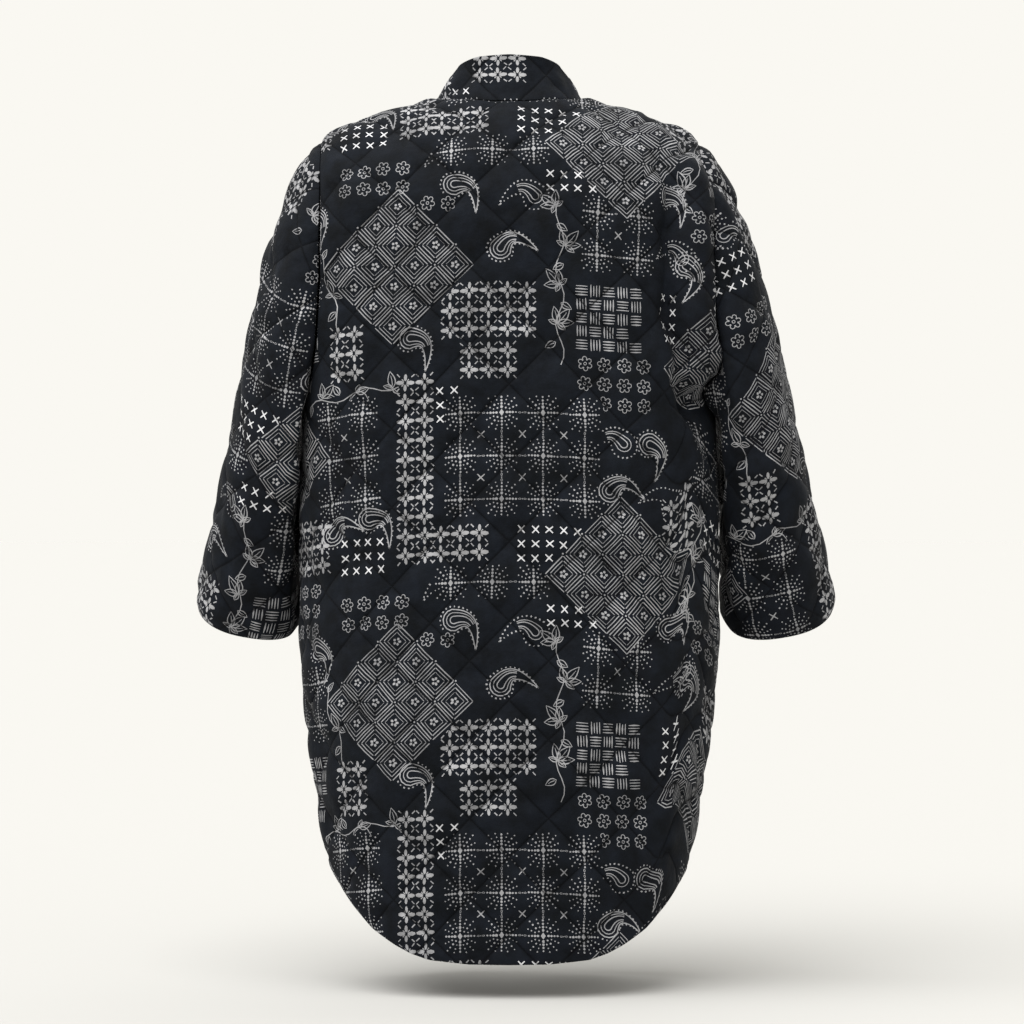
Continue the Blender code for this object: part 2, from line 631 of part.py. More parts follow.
def solid(name, piece, collection):
    """Closed wall: raised outer side, plain inner side and a rim."""
    outer = piece["points"] + piece["normals"] * piece["rise"][:, None]
    inner = piece["points"] - piece["normals"] * LINING_DEPTH
    count = len(outer)
    faces = piece["faces"]
    rim = rim_edges(faces)
    sides = np.concatenate([
        np.stack([rim[:, 1], rim[:, 0], rim[:, 0] + count], axis=1),
        np.stack([rim[:, 1], rim[:, 0] + count, rim[:, 1] + count], axis=1),
    ])
    every = np.concatenate([faces, faces[:, ::-1] + count, sides])
    mesh = bpy.data.meshes.new(name)
    mesh.from_pydata((np.concatenate([outer, inner]) * MM).tolist(), [], every.tolist())
    mesh.update()
    body = bpy.data.objects.new(name, mesh)
    collection.objects.link(body)
    cloth = bpy.data.materials.new(name + " quilted cotton")
    cloth.use_nodes = True
    shader = cloth.node_tree.nodes["Principled BSDF"]
    shader.inputs["Base Color"].default_value = CLOTH
    shader.inputs["Roughness"].default_value = 0.85
    mesh.materials.append(cloth)


def main():
    for thing in list(bpy.data.objects):
        bpy.data.objects.remove(thing, do_unlink=True)
    collection = bpy.data.collections.new("coat")
    bpy.context.scene.collection.children.link(collection)
    back, front = body_cloth(1), body_cloth(-1)
    pieces = {"back": piece_surface(back, body_outline(back, "back"))}
    for name in ("front_left", "front_right"):
        pieces[name] = piece_surface(front, body_outline(front, name))
    for name, (side, cuff_x, cuff_half) in SLEEVES.items():
        cloth = sleeve_grid(side, cuff_x, cuff_half, back, front)
        pieces[name] = piece_surface(cloth, sleeve_outline(cloth, back, front, side))
    edge = neck_points(back, front)
    cloth = collar_grid(edge)
    pieces["collar"] = piece_surface(cloth, collar_outline(cloth, edge))
    for piece in pieces.values():
        weld(piece)
    share_seam_normals(pieces)
    for name, piece in pieces.items():
        pull_in(piece)
        solid(name, piece, collection)


main()
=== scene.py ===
"""Looks of the open-front quilted coat: fine padded cloth with its printed patchwork, studio and camera.

Every panel is drawn flat, in the millimetres of its own cloth: its outline, the crossing quilt lines
and the printed motifs are cut into triangles there, and then laid on the coat's surface with the rise
of the padding. Each wall is one closed mesh, and its printed faces carry the ink.
"""

import math

import bpy
import numpy as np
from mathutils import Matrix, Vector
from mathutils.geometry import delaunay_2d_cdt
from mathutils.kdtree import KDTree


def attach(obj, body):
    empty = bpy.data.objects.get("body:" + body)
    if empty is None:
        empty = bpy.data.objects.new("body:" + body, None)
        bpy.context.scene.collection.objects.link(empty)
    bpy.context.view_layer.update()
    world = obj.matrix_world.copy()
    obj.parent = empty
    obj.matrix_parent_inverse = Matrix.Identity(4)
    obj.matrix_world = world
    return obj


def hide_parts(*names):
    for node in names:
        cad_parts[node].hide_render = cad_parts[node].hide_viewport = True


MM = 0.001
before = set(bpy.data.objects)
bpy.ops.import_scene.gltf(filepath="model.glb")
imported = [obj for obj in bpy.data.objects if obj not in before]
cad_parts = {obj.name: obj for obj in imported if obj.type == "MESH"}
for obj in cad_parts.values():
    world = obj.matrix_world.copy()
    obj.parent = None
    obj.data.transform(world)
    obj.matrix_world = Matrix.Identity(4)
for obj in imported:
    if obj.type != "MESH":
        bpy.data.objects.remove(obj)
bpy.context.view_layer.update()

# Wall and quilting, mm.
LINING_DEPTH = 3.0
PUFF = 5.0
DIAMOND = 84.0
STEPS = 16
STEP = DIAMOND / STEPS
SEAM_HALF_GAP = 0.03
OUTLINE_STEP = 4.0
LINING_STEP = 14.0

# Shoulder: the cloth turns from the ridge over to the back and front on a quarter ellipse.
SHOULDER_DROP = 150.0
SHOULDER_RUN = 205.0
RIDGE_FADE = 300.0

# Ridge of the shoulder: distance from the middle, height.
RIDGE = np.array([
    (0, 16), (40, 13), (82, 2), (117, -8), (141, -13), (158, -19), (180, -27),
    (197, -35), (207, -43), (214, -52), (222, -62), (260, -110),
], float)

# Body rings: level, half width, depth of back, depth of front, squareness.
BODY = np.array([
    (0, 213, 118, 108, 3.4),
    (-150, 221, 122, 112, 3.4),
    (-250, 225, 127, 118, 3.3),
    (-335, 227, 131, 123, 2.9),
    (-430, 227, 135, 130, 2.6),
    (-547, 227, 139, 136, 2.4),
    (-613, 227, 139, 137, 2.4),
    (-679, 220, 138, 136, 2.4),
    (-745, 211, 135, 134, 2.4),
    (-811, 199, 131, 130, 2.4),
    (-844, 193, 129, 128, 2.4),
    (-900, 187, 124, 123, 2.4),
    (-1000, 182, 117, 116, 2.4),
], float)

# Armhole edge: level, distance from the middle at the left, at the right.
ARMHOLE = np.array([
    (0, 207, 209), (-60, 206, 210), (-120, 205, 210), (-200, 205, 209),
    (-260, 208, 211), (-300, 214, 216), (-322, 221, 221), (-335, 227, 227),
], float)
UNDERARM = -335.0

# Hem: distance round the body from the side seam, level.
HEM = np.array([
    (0, -845), (25, -848), (47, -855), (66, -867), (89, -883), (108, -898), (137, -914),
    (157, -923), (177, -929), (220, -933), (300, -934),
], float)

# Front edge: level, distance from the middle.
FRONT_EDGE = np.array([(0, 30), (-70, 30), (-150, 33), (-335, 42), (-600, 52), (-950, 60)], float)
FRONT_CORNER = 55.0

# Neck opening seen from above: middle, half width, half depth, squareness.
NECK_Y, NECK_WIDE, NECK_DEEP, NECK_SQUARE = -20.0, 84.0, 76.0, 2.2
# The collar's top edge seen from above in the same way, and how quickly the collar turns up to it.
COLLAR_TOP_Y, COLLAR_TOP_WIDE, COLLAR_TOP_DEEP = -20.0, 61.0, 58.0
COLLAR_TOP_SQUARE, COLLAR_TURN_UP = 2.3, 1.9
# Top of the stand collar: share of the way round from the back, height.
COLLAR_TOP = np.array([(0, 49), (0.2, 47), (0.36, 41), (0.5, 33), (0.7, 12), (1, -20)], float)

# Fold behind the right arm: level, distance of its crease from the middle, strength.
ARM_FOLD = np.array([
    (-60, 156, 0), (-75, 160, 0.45), (-100, 171, 0.8), (-160, 171, 1), (-202, 170, 1), (-239, 173, 1),
    (-277, 179, 1), (-296, 182, 0.85), (-312, 184, 0.15), (-322, 186, 0),
], float)

# Its ridge: height, distance out from the crease, half width. Its crease: depth, half width.
RIDGE_RISE, RIDGE_OUT, RIDGE_HALF = 21, 27, 17
CREASE_DROP, CREASE_HALF = 13, 10
# The hollow below it: depth, place, half width. The fading crease below: depth, top, slant, half width.
HOLLOW_DROP, HOLLOW_X, HOLLOW_Z, HOLLOW_HALF = 24, 206, -330, 20
TRAIL_DROP, TRAIL_X, TRAIL_Z, TRAIL_SLANT, TRAIL_HALF = 10, 184, -308, 0.36, 9

# Sleeves: side, cuff middle x, cuff half width.
SLEEVES = {"sleeve_left": (1, 288.0, 61.0), "sleeve_right": (-1, 301.0, 62.0)}
# Room between a sleeve and the body's side, and the rows of a sleeve's grid, so many mm apart.
SIDE_CLEAR = 12.0
SLEEVE_ROW = 4.0
# Both cuffs: middle, half depth, tilt, squareness.
CUFF_Y, CUFF_Z, CUFF_DEEP, CUFF_TILT, CUFF_SQUARE = -66.0, -556.0, 73.0, math.radians(27), 2.4

# Soft creases placed on the flat cloth: from, to, width, depth, mm.
CREASES = {
    "back": [
        (-120, -95, -60, 40, 14, 1.6), (150, -60, 118, 110, 16, 2.0), (-205, 130, -150, 330, 18, 2.4),
        (200, 150, 168, 380, 18, 2.2), (-30, 60, 30, 240, 22, 1.4), (-160, 420, -90, 640, 20, 2.0),
        (120, 450, 60, 690, 20, 1.8), (-230, 560, -205, 690, 15, 2.0), (225, 520, 200, 680, 15, 2.2),
    ],
    "front_left": [(60, 40, 150, 180, 16, 1.8), (210, 260, 150, 480, 20, 2.2), (90, 420, 120, 640, 18, 1.8)],
    "front_right": [
        (-70, 30, -160, 200, 16, 1.8), (-200, 280, -140, 470, 20, 2.2), (-90, 460, -130, 660, 18, 1.8),
    ],
    "sleeve_left": [
        (-40, 470, 60, 380, 12, 2.6), (-110, 330, -20, 250, 14, 2.8), (60, 300, 150, 210, 13, 2.2),
        (-150, 180, -60, 120, 14, 2.4), (20, 150, 110, 60, 14, 2.0),
    ],
    "sleeve_right": [
        (50, 480, -40, 390, 12, 2.6), (120, 340, 20, 270, 14, 3.0), (-60, 310, -150, 220, 13, 2.2),
        (140, 190, 50, 110, 14, 2.6), (-30, 160, -110, 70, 14, 2.0),
    ],
    "collar": [(-60, 8, -40, 50, 8, 1.0), (75, 5, 60, 45, 8, 1.2)],
}

# Quilt lines start from these places of the flat cloth, mm.
QUILT_START = {"back": (0, 0), "front_left": (21, 10), "front_right": (-21, 10),
               "sleeve_left": (12, 20), "sleeve_right": (-12, 20), "collar": (0, -12)}


def table(rows, at, column=1):
    """Reads a table at any level, whichever way its first column runs."""
    order = np.argsort(rows[:, 0])
    return np.interp(at, rows[order, 0], rows[order, column])


def smooth(x):
    """Soft step from 0 to 1: three x squared less two x cubed."""
    x = np.clip(x, 0, 1)
    return x * x * (3 - 2 * x)


def level_of(t):
    """Height of a row of the body at its middle: round the shoulder, then straight down."""
    turn = np.minimum(t / SHOULDER_RUN, 1) * math.pi / 2
    return -SHOULDER_DROP * (1 - np.cos(turn)) - np.maximum(t - SHOULDER_RUN, 0)


def row_at(level):
    """The row that lies at a level: level_of turned round."""
    turn = np.arccos(np.clip(1 + level / SHOULDER_DROP, 0, 1))
    return np.where(level > -SHOULDER_DROP, turn * SHOULDER_RUN * 2 / math.pi,
                    SHOULDER_RUN - level - SHOULDER_DROP)


def unit(vectors):
    """Vectors at length 1."""
    return vectors / np.maximum(np.linalg.norm(vectors, axis=-1, keepdims=True), 1e-9)


def grid_normals(points):
    """Unit normals of a grid of points, rows by columns: across times down."""
    return unit(np.cross(np.gradient(points, axis=1), np.gradient(points, axis=0)))


def run_length(points, axis, start):
    """Length along one direction of a grid, zero at the given row or column."""
    total = np.cumsum(np.linalg.norm(np.diff(points, axis=axis), axis=2), axis=axis)
    pad = [(0, 0), (0, 0)]
    pad[axis] = (1, 0)
    total = np.pad(total, pad)
    return total - np.take(total, [start], axis=axis)


def lengths_along(points):
    """Length of a line up to each of its points."""
    return np.concatenate([[0], np.cumsum(np.linalg.norm(np.diff(points, axis=0), axis=1))])


def body_points(t, phi, face):
    """Body surface: a squared ellipse at each level; over the shoulder its depth grows as a sine."""
    level = level_of(t)
    wide = table(BODY, level)
    deep = table(BODY, level, 2 if face > 0 else 3)
    square = table(BODY, level, 4)
    radius = (np.abs(np.sin(phi) / wide) ** square + np.abs(np.cos(phi) / deep) ** square) ** (-1 / square)
    x = radius * np.sin(phi)
    turn = np.minimum(t / SHOULDER_RUN, 1) * math.pi / 2
    y = face * radius * np.cos(phi) * np.sin(turn)
    z = level + table(RIDGE, np.abs(x)) * smooth(1 - t / RIDGE_FADE)
    return np.stack([x, y, z], axis=-1)


def arm_fold(points):
    """Push of the fold behind the right arm: a round ridge beside its crease, then a hollow and a fading
    crease below, each a bell curve of the distance from its line."""
    x, y, z = points[..., 0], points[..., 1], points[..., 2]
    behind = smooth(y / 30) * (x < 0)
    out = -x - table(ARM_FOLD, z)
    strength = table(ARM_FOLD, z, 2)
    ridge = RIDGE_RISE * np.exp(-((out - RIDGE_OUT) / RIDGE_HALF) ** 2)
    crease = CREASE_DROP * np.exp(-(out / CREASE_HALF) ** 2)
    hollow = HOLLOW_DROP * np.exp(-((-x - HOLLOW_X) / HOLLOW_HALF) ** 2 - ((z - HOLLOW_Z) / HOLLOW_HALF) ** 2)
    fade = smooth((-z - 300) / 12) * smooth((430 + z) / 90)
    trail = TRAIL_DROP * np.exp(-((-x - TRAIL_X + (z - TRAIL_Z) * TRAIL_SLANT) / TRAIL_HALF) ** 2) * fade
    return (strength * (ridge - crease) - hollow - trail) * behind


class Cloth:
    """A surface as a grid of points, with the flat lengths across and down at each of them."""

    def __init__(self, points, middle_column, start_row, outward):
        self.points = points
        self.normals = grid_normals(points) * outward
        self.across = run_length(points, 1, middle_column)
        self.down = run_length(points, 0, start_row)
        self.across_way = unit(np.gradient(points, axis=1))
        self.down_way = unit(np.gradient(points, axis=0))

    def sample(self, grid, at):
        """Reads a grid between its rows and columns."""
        rows, columns = grid.shape[:2]
        r = np.clip(at[:, 0], 0, rows - 1.001)
        c = np.clip(at[:, 1], 0, columns - 1.001)
        i, j = r.astype(int), c.astype(int)
        fr, fc = r - i, c - j
        if grid.ndim == 3:
            fr, fc = fr[:, None], fc[:, None]
        top = grid[i, j] * (1 - fc) + grid[i, j + 1] * fc
        low = grid[i + 1, j] * (1 - fc) + grid[i + 1, j + 1] * fc
        return top * (1 - fr) + low * fr

    def find(self, flat):
        """Rows and columns whose flat lengths are the ones asked for, by Newton's steps."""
        rows, columns = self.across.shape
        at = np.empty((len(flat), 2))
        at[:, 0] = np.interp(flat[:, 1], self.down[:, columns // 2], np.arange(rows))
        at[:, 1] = np.interp(flat[:, 0], self.across[rows // 2], np.arange(columns))
        slopes = [np.gradient(grid, axis=axis) for grid in (self.across, self.down) for axis in (0, 1)]
        for _ in range(12):
            miss_s = flat[:, 0] - self.sample(self.across, at)
            miss_t = flat[:, 1] - self.sample(self.down, at)
            s_r, s_c, t_r, t_c = (self.sample(slope, at) for slope in slopes)
            area = s_r * t_c - s_c * t_r
            area = np.where(np.abs(area) < 1e-6, -1e-6, area)
            at[:, 0] += np.clip((miss_s * t_c - miss_t * s_c) / area, -6, 6)
            at[:, 1] += np.clip((miss_t * s_r - miss_s * t_r) / area, -6, 6)
        return at

    def flat(self, at):
        """Flat places of grid places."""
        return np.stack([self.sample(self.across, at), self.sample(self.down, at)], axis=1)


# Grid of the body: rows so many mm apart, columns a degree apart, this many on each side of the middle.
ROW_STEP = 5.0
MIDDLE_COLUMN = 104


def body_cloth(face):
    """Back or front of the body as cloth, its fold pushed out along the normals."""
    rows = np.arange(-30.0, 1060.0, ROW_STEP)
    angles = np.radians(np.arange(-MIDDLE_COLUMN, MIDDLE_COLUMN + 1.0))
    points = body_points(rows[:, None], angles[None, :], face)
    outward = -1 if face > 0 else 1
    if (grid_normals(points)[60, MIDDLE_COLUMN, 1] * outward) * face < 0:
        outward = -outward
    points = points + grid_normals(points) * outward * arm_fold(points)[..., None]
    cloth = Cloth(points, MIDDLE_COLUMN, int(np.argmin(np.abs(rows - SHOULDER_RUN))), outward)
    cloth.rows, cloth.angles, cloth.face = rows, angles, face
    return cloth


def body_place(cloth, t, phi):
    """Grid place of row t and angle phi."""
    rows = (np.asarray(t) - cloth.rows[0]) / ROW_STEP
    columns = np.degrees(np.asarray(phi) - cloth.angles[0])
    return np.stack(np.broadcast_arrays(rows, columns), axis=1)


# Angles from the middle to the side, an eighth of a degree apart.
QUARTER = np.radians(np.linspace(0, 90, 721))


def angle_at(x, t, face):
    """Angle at which row t lies x from the middle."""
    return np.array([
        np.interp(one_x, body_points(np.full(len(QUARTER), one_t), QUARTER, face)[:, 0], QUARTER)
        for one_x, one_t in zip(np.atleast_1d(x), np.atleast_1d(t))
    ])


def spaced(points):
    """Shares that cut a line of points into equal lengths of about the outline's step."""
    length = lengths_along(points)
    count = max(2, round(length[-1] / OUTLINE_STEP))
    return np.interp(np.linspace(0, length[-1], count + 1), length, np.linspace(0, 1, len(points)))


def armhole_line(side, face):
    """Rows and angles of the armhole edge from the shoulder to the underarm."""
    levels = -UNDERARM * (np.cos(np.linspace(0, math.pi, 160)) - 1) / 2
    t = row_at(levels)
    phi = angle_at(table(ARMHOLE, levels, 1 if side > 0 else 2), t, face)
    phi[-1] = math.pi / 2
    return t, phi


def neck_xy(turn):
    """Neck opening seen from above, a squared ellipse; turn is 0 at the back, pi at the front."""
    radius = (np.abs(np.sin(turn) / NECK_WIDE) ** NECK_SQUARE
              + np.abs(np.cos(turn) / NECK_DEEP) ** NECK_SQUARE) ** (-1 / NECK_SQUARE)
    return radius * np.sin(turn), NECK_Y + radius * np.cos(turn)


def neck_row(x, y, face):
    """Row and angle at which the body's surface passes over a point seen from above, by half steps."""
    found = []
    for one_x, one_y in zip(x, y):
        t = 60.0
        for _ in range(40):
            row_x = body_points(np.full(len(QUARTER), t), QUARTER, face)[:, 0]
            phi = np.interp(abs(one_x), row_x, QUARTER)
            full = body_points(np.array([SHOULDER_RUN]), np.array([phi]), face)[0, 1]
            share = np.clip(one_y / full, 0, 0.999)
            t = 0.5 * t + 0.5 * math.asin(share) * SHOULDER_RUN * 2 / math.pi
        found.append((t, math.copysign(phi, one_x) if one_x else 0.0))
    return np.array(found).T


NECK_SIDE_TURN = float(np.interp(0.0, -neck_xy(np.linspace(1.2, 2.2, 400))[1], np.linspace(1.2, 2.2, 400)))
NECK_FRONT_TURN = float(np.interp(
    -FRONT_EDGE[1, 1], -neck_xy(np.linspace(2.2, math.pi, 400))[0], np.linspace(2.2, math.pi, 400)))


def line_on(cloth, t, phi):
    """An outline stretch, evenly spaced: flat places, points and grid places."""
    at = body_place(cloth, t, phi)
    cuts = spaced(cloth.sample(cloth.points, at))
    share = np.linspace(0, 1, len(at))
    at = np.stack([np.interp(cuts, share, at[:, 0]), np.interp(cuts, share, at[:, 1])], axis=1)
    return cloth.flat(at), cloth.sample(cloth.points, at)


def neck_line(face):
    """Rows and angles of the neck edge on one side, from the shoulder to the middle back or front edge."""
    turn = np.linspace(NECK_SIDE_TURN, 0 if face > 0 else NECK_FRONT_TURN, 60)
    x, y = neck_xy(turn)
    y[0] = 0
    t, phi = neck_row(x, y, face)
    t[0] = 0
    return t, phi


def hem_line(cloth, side):
    """Rows and angles of the hem on one side, from the side seam to the middle or the front edge."""
    phi = np.linspace(math.pi / 2, 0, 200)
    rows = np.full(200, 1000.0)
    for _ in range(12):
        s = np.abs(cloth.sample(cloth.across, body_place(cloth, rows, side * phi)))
        level = table(HEM, s[0] - s)
        rows = row_at(level)
    if cloth.face < 0:
        x = np.abs(cloth.sample(cloth.points, body_place(cloth, rows, side * phi))[:, 0])
        stop = int(np.argmax(x < table(FRONT_EDGE, level)))
        rows, phi, x = rows[:stop + 1], phi[:stop + 1], x[:stop + 1]
        # The hem's front corner is rounded on a quarter circle.
        past = np.clip(1 - (x - x[stop]) / FRONT_CORNER, 0, 1)
        rows = rows - FRONT_CORNER * (1 - np.sqrt(1 - past ** 2))
    return rows, phi


def body_outline(cloth, kind):
    """Outline of the back or one front, from its neck round by shoulder, armhole, side and hem."""
    face = cloth.face

    def half(side):
        t, phi = neck_line(face)
        neck = (t[::-1], side * phi[::-1])
        tip = angle_at(table(ARMHOLE, 0, 1 if side > 0 else 2), 0.0, face)[0]
        shoulder = (np.zeros(60), side * np.linspace(phi[0], tip, 60))
        t, phi = armhole_line(side, face)
        armhole = (t, side * phi)
        seam = (row_at(np.linspace(UNDERARM, HEM[0, 1], 60)), np.full(60, side * math.pi / 2))
        t, phi = hem_line(cloth, side)
        lines = [neck, shoulder, armhole, seam, (t, side * phi)]
        if face < 0:
            levels = np.linspace(level_of(t[-1]), level_of(neck[0][0]), 80)
            rows = row_at(levels)
            edge = angle_at(table(FRONT_EDGE, levels), rows, face)
            edge[0], edge[-1] = phi[-1], abs(neck[1][0])
            lines.append((rows, side * edge))
        return lines

    if kind == "back":
        lines = half(1) + [(t[::-1], phi[::-1]) for t, phi in half(-1)[::-1]]
    else:
        lines = half(1 if kind == "front_left" else -1)
    parts = [line_on(cloth, t, phi)[0][:-1] for t, phi in lines]
    return np.concatenate(parts)


def stand_off(points, from_armhole):
    """How far a sleeve's point moves out, so that the sleeve hangs clear of the body's side, mm: what it
    lacks, bent softly to nothing where it is clear, and faded out towards the armhole."""
    x, y, z = np.abs(points[..., 0]), points[..., 1], points[..., 2]
    wide, square = table(BODY, z), table(BODY, z, 4)
    deep = np.where(y > 0, table(BODY, z, 2), table(BODY, z, 3))
    body_x = wide * np.clip(1 - (np.abs(y) / deep) ** square, 0, 1) ** (1 / square)
    reach = from_armhole[..., 0]
    short = (body_x + SIDE_CLEAR * smooth(reach / 70) - x) / 4
    return 4 * np.logaddexp(0, short) * smooth(reach / 30) * smooth((-z - 290) / 60)


def room(points):
    """Share of the padding's rise that fits: less in the fold under the arm."""
    away = np.linalg.norm(
        (np.abs(points[:, 0]) - 230, points[:, 1] * 0.55, points[:, 2] - UNDERARM + 8), axis=0)
    return smooth((away - 12) / 75)


def sleeve_cloth(side, cuff_x, cuff_half, back, front):
    """Sleeve: each line runs as a cubic from the armhole to the cuff, leaving and arriving on a set slope."""
    count = 73
    ring = []
    for body in (back, front):
        t, phi = armhole_line(side, body.face)
        at = body_place(body, t, side * phi)
        dense = body.sample(body.points, at)
        length = lengths_along(dense)
        share = np.interp(np.linspace(0, length[-1], count), length, np.arange(len(dense)))
        places = np.stack([np.interp(share, np.arange(len(at)), at[:, k]) for k in (0, 1)], axis=1)
        ring.append(body.sample(body.points, places))
    half_turn = np.linspace(0, math.pi, count)
    start = np.concatenate([ring[1][::-1], ring[0][1:]])
    turn = np.concatenate([-half_turn[::-1], half_turn[1:]])
    power = 2 / CUFF_SQUARE
    wide = np.sign(np.cos(turn)) * np.abs(np.cos(turn)) ** power
    deep = np.sign(np.sin(turn)) * np.abs(np.sin(turn)) ** power
    end = np.stack([
        side * (cuff_x + cuff_half * wide),
        CUFF_Y + CUFF_DEEP * math.cos(CUFF_TILT) * deep,
        CUFF_Z + 10 * wide - CUFF_DEEP * math.sin(CUFF_TILT) * deep,
    ], axis=1)
    reach = np.linalg.norm(end - start, axis=1)[:, None]
    # Slopes where the lines leave the armhole and reach the cuff; out is 1 outside and 0 beside the body.
    out = (1 + np.cos(turn)) / 2
    leave = np.stack([side * (0.12 + 0.60 * out), 0.30 * np.sin(turn), -0.98 + 0.29 * out], axis=1)
    arrive = np.stack([side * (0.06 + 0.23 * out), np.full(len(turn), -0.42), -0.88 - 0.04 * out], axis=1)
    leave *= reach * (0.75 - 0.20 * out[:, None])
    arrive *= reach
    v = np.linspace(0, 1, 240)[:, None, None]
    line = ((2 * v ** 3 - 3 * v ** 2 + 1) * start + (v ** 3 - 2 * v ** 2 + v) * leave
            + (3 * v ** 2 - 2 * v ** 3) * end + (v ** 3 - v ** 2) * arrive)
    line[..., 0] += side * stand_off(line, v * reach)
    before = start - unit(leave) * 60
    line = np.concatenate([before[None], line])
    steps = np.linalg.norm(np.diff(line, axis=0), axis=2)
    from_cuff = np.concatenate([np.cumsum(steps[::-1], axis=0)[::-1], np.zeros((1, len(turn)))])
    levels = np.arange(0.0, from_cuff[1].max() + 30, SLEEVE_ROW)
    points = np.empty((len(levels), len(turn), 3))
    for j in range(len(turn)):
        for axis in range(3):
            points[:, j, axis] = np.interp(levels, from_cuff[::-1, j], line[::-1, j, axis])
    middle = count - 1
    outward = 1 if grid_normals(points)[40, middle, 0] * side > 0 else -1
    cloth = Cloth(points, middle, 0, outward)
    cloth.lengths = from_cuff[1]
    return cloth


def flat_outline(cloth, lines):
    """Flat outline along stretches of grid rows and columns, each cut into equal lengths."""
    parts = []
    for rows, columns in lines:
        at = np.stack([rows, columns], axis=1)
        cuts = spaced(cloth.sample(cloth.points, at)) * (len(at) - 1)
        cut = [np.interp(cuts, np.arange(len(at)), at[:, k]) for k in (0, 1)]
        parts.append(cloth.flat(np.stack(cut, axis=1))[:-1])
    return np.concatenate(parts)


def sleeve_outline(cloth):
    """Outline of a sleeve, flat: cuff, underarm seam, armhole, underarm seam again."""
    columns = cloth.points.shape[1]
    top = cloth.lengths / SLEEVE_ROW
    last = columns - 1.0
    lines = [
        (np.zeros(400), np.linspace(0, last, 400)),
        (np.linspace(0, top[0], 200), np.full(200, last)),
        (np.interp(np.linspace(last, 0, 600), np.arange(columns), top), np.linspace(last, 0, 600)),
        (np.linspace(top[0], 0, 200), np.zeros(200)),
    ]
    return flat_outline(cloth, lines)


def neck_points(back, front):
    """The neck edge in space, from the left front end by the back to the right one."""
    ends = []
    for side in (1, -1):
        t, phi = neck_line(-1)
        front_part = line_on(front, t[::-1], side * phi[::-1])[1]
        t, phi = neck_line(1)
        back_part = line_on(back, t, side * phi)[1]
        ends.append(np.concatenate([front_part[:-1], back_part]))
    return np.concatenate([ends[0], ends[1][::-1][1:]])


def collar_cloth(edge):
    """Stand collar: the neck edge moves in and up to a smaller ring, turning up quickly from the neck."""
    length = lengths_along(edge)
    where = length / length[-1] * 2 - 1
    turn = np.arctan2(edge[:, 0], edge[:, 1] - NECK_Y)
    radius = (np.abs(np.sin(turn) / COLLAR_TOP_WIDE) ** COLLAR_TOP_SQUARE
              + np.abs(np.cos(turn) / COLLAR_TOP_DEEP) ** COLLAR_TOP_SQUARE) ** (-1 / COLLAR_TOP_SQUARE)
    top = np.stack([radius * np.sin(turn), COLLAR_TOP_Y + radius * np.cos(turn),
                    table(COLLAR_TOP, np.abs(where))], axis=1)
    rise = np.linspace(0, 1, 17)[:, None, None]
    points = edge + (top - edge) * rise
    points[..., :2] = edge[:, :2] + (top - edge)[:, :2] * (1 - (1 - rise) ** COLLAR_TURN_UP)
    dense = np.linspace(0, 1, 241)
    fine = np.stack([
        np.stack([np.interp(dense, (where + 1) / 2, row[:, axis]) for axis in range(3)], axis=1)
        for row in points
    ])
    outward = 1 if grid_normals(fine)[8, 120, 1] > 0 else -1
    return Cloth(fine, 120, 0, outward)


def collar_outline(cloth):
    """Outline of the collar, flat: neck edge, end, top edge, other end."""
    last = cloth.points.shape[1] - 1.0
    lines = [
        (np.zeros(400), np.linspace(0, last, 400)), (np.linspace(0, 16, 60), np.full(60, last)),
        (np.full(400, 16.0), np.linspace(last, 0, 400)), (np.linspace(16, 0, 60), np.zeros(60)),
    ]
    return flat_outline(cloth, lines)


# Printed motifs. Each function gives flat shapes, in mm, about its own middle.
LOZENGE = 21.5


def dot(x, y, r, sides=6, stretch=1.0, turn=0.0):
    """A dot or oval of a few corners."""
    angle = np.linspace(0, 2 * math.pi, sides, endpoint=False) + 0.3
    p = np.stack([r * stretch * np.cos(angle), r * np.sin(angle)], axis=1)
    return moved([p], x, y, turn)[0]


def stroke(points, width):
    """A line with a width at each of its points: its left side and back along its right side."""
    points = np.asarray(points, float)
    along = unit(np.gradient(points, axis=0))
    side = np.stack([-along[:, 1], along[:, 0]], axis=1) * np.broadcast_to(width, len(points))[:, None] / 2
    return np.concatenate([points + side, (points - side)[::-1]])


def arc(points_count, start, end, rx, ry, x=0.0, y=0.0):
    """Points of an arc of an ellipse between two angles."""
    angle = np.linspace(start, end, points_count)
    return np.stack([x + rx * np.cos(angle), y + ry * np.sin(angle)], axis=1)


def ring(x, y, rx, ry, width):
    """A drawn ring, as two open strokes."""
    return [stroke(arc(6, 0.1, math.pi - 0.1, rx, ry, x, y), width),
            stroke(arc(6, math.pi + 0.1, 2 * math.pi - 0.1, rx, ry, x, y), width)]


def moved(shapes, x=0.0, y=0.0, turn=0.0, size=1.0, flip=1.0):
    """Shapes turned, sized and put in place."""
    c, s = math.cos(turn) * size, math.sin(turn) * size
    matrix = np.array([[c, s], [-s, c]])
    return [(shape * (flip, 1)) @ matrix + (x, y) for shape in shapes]


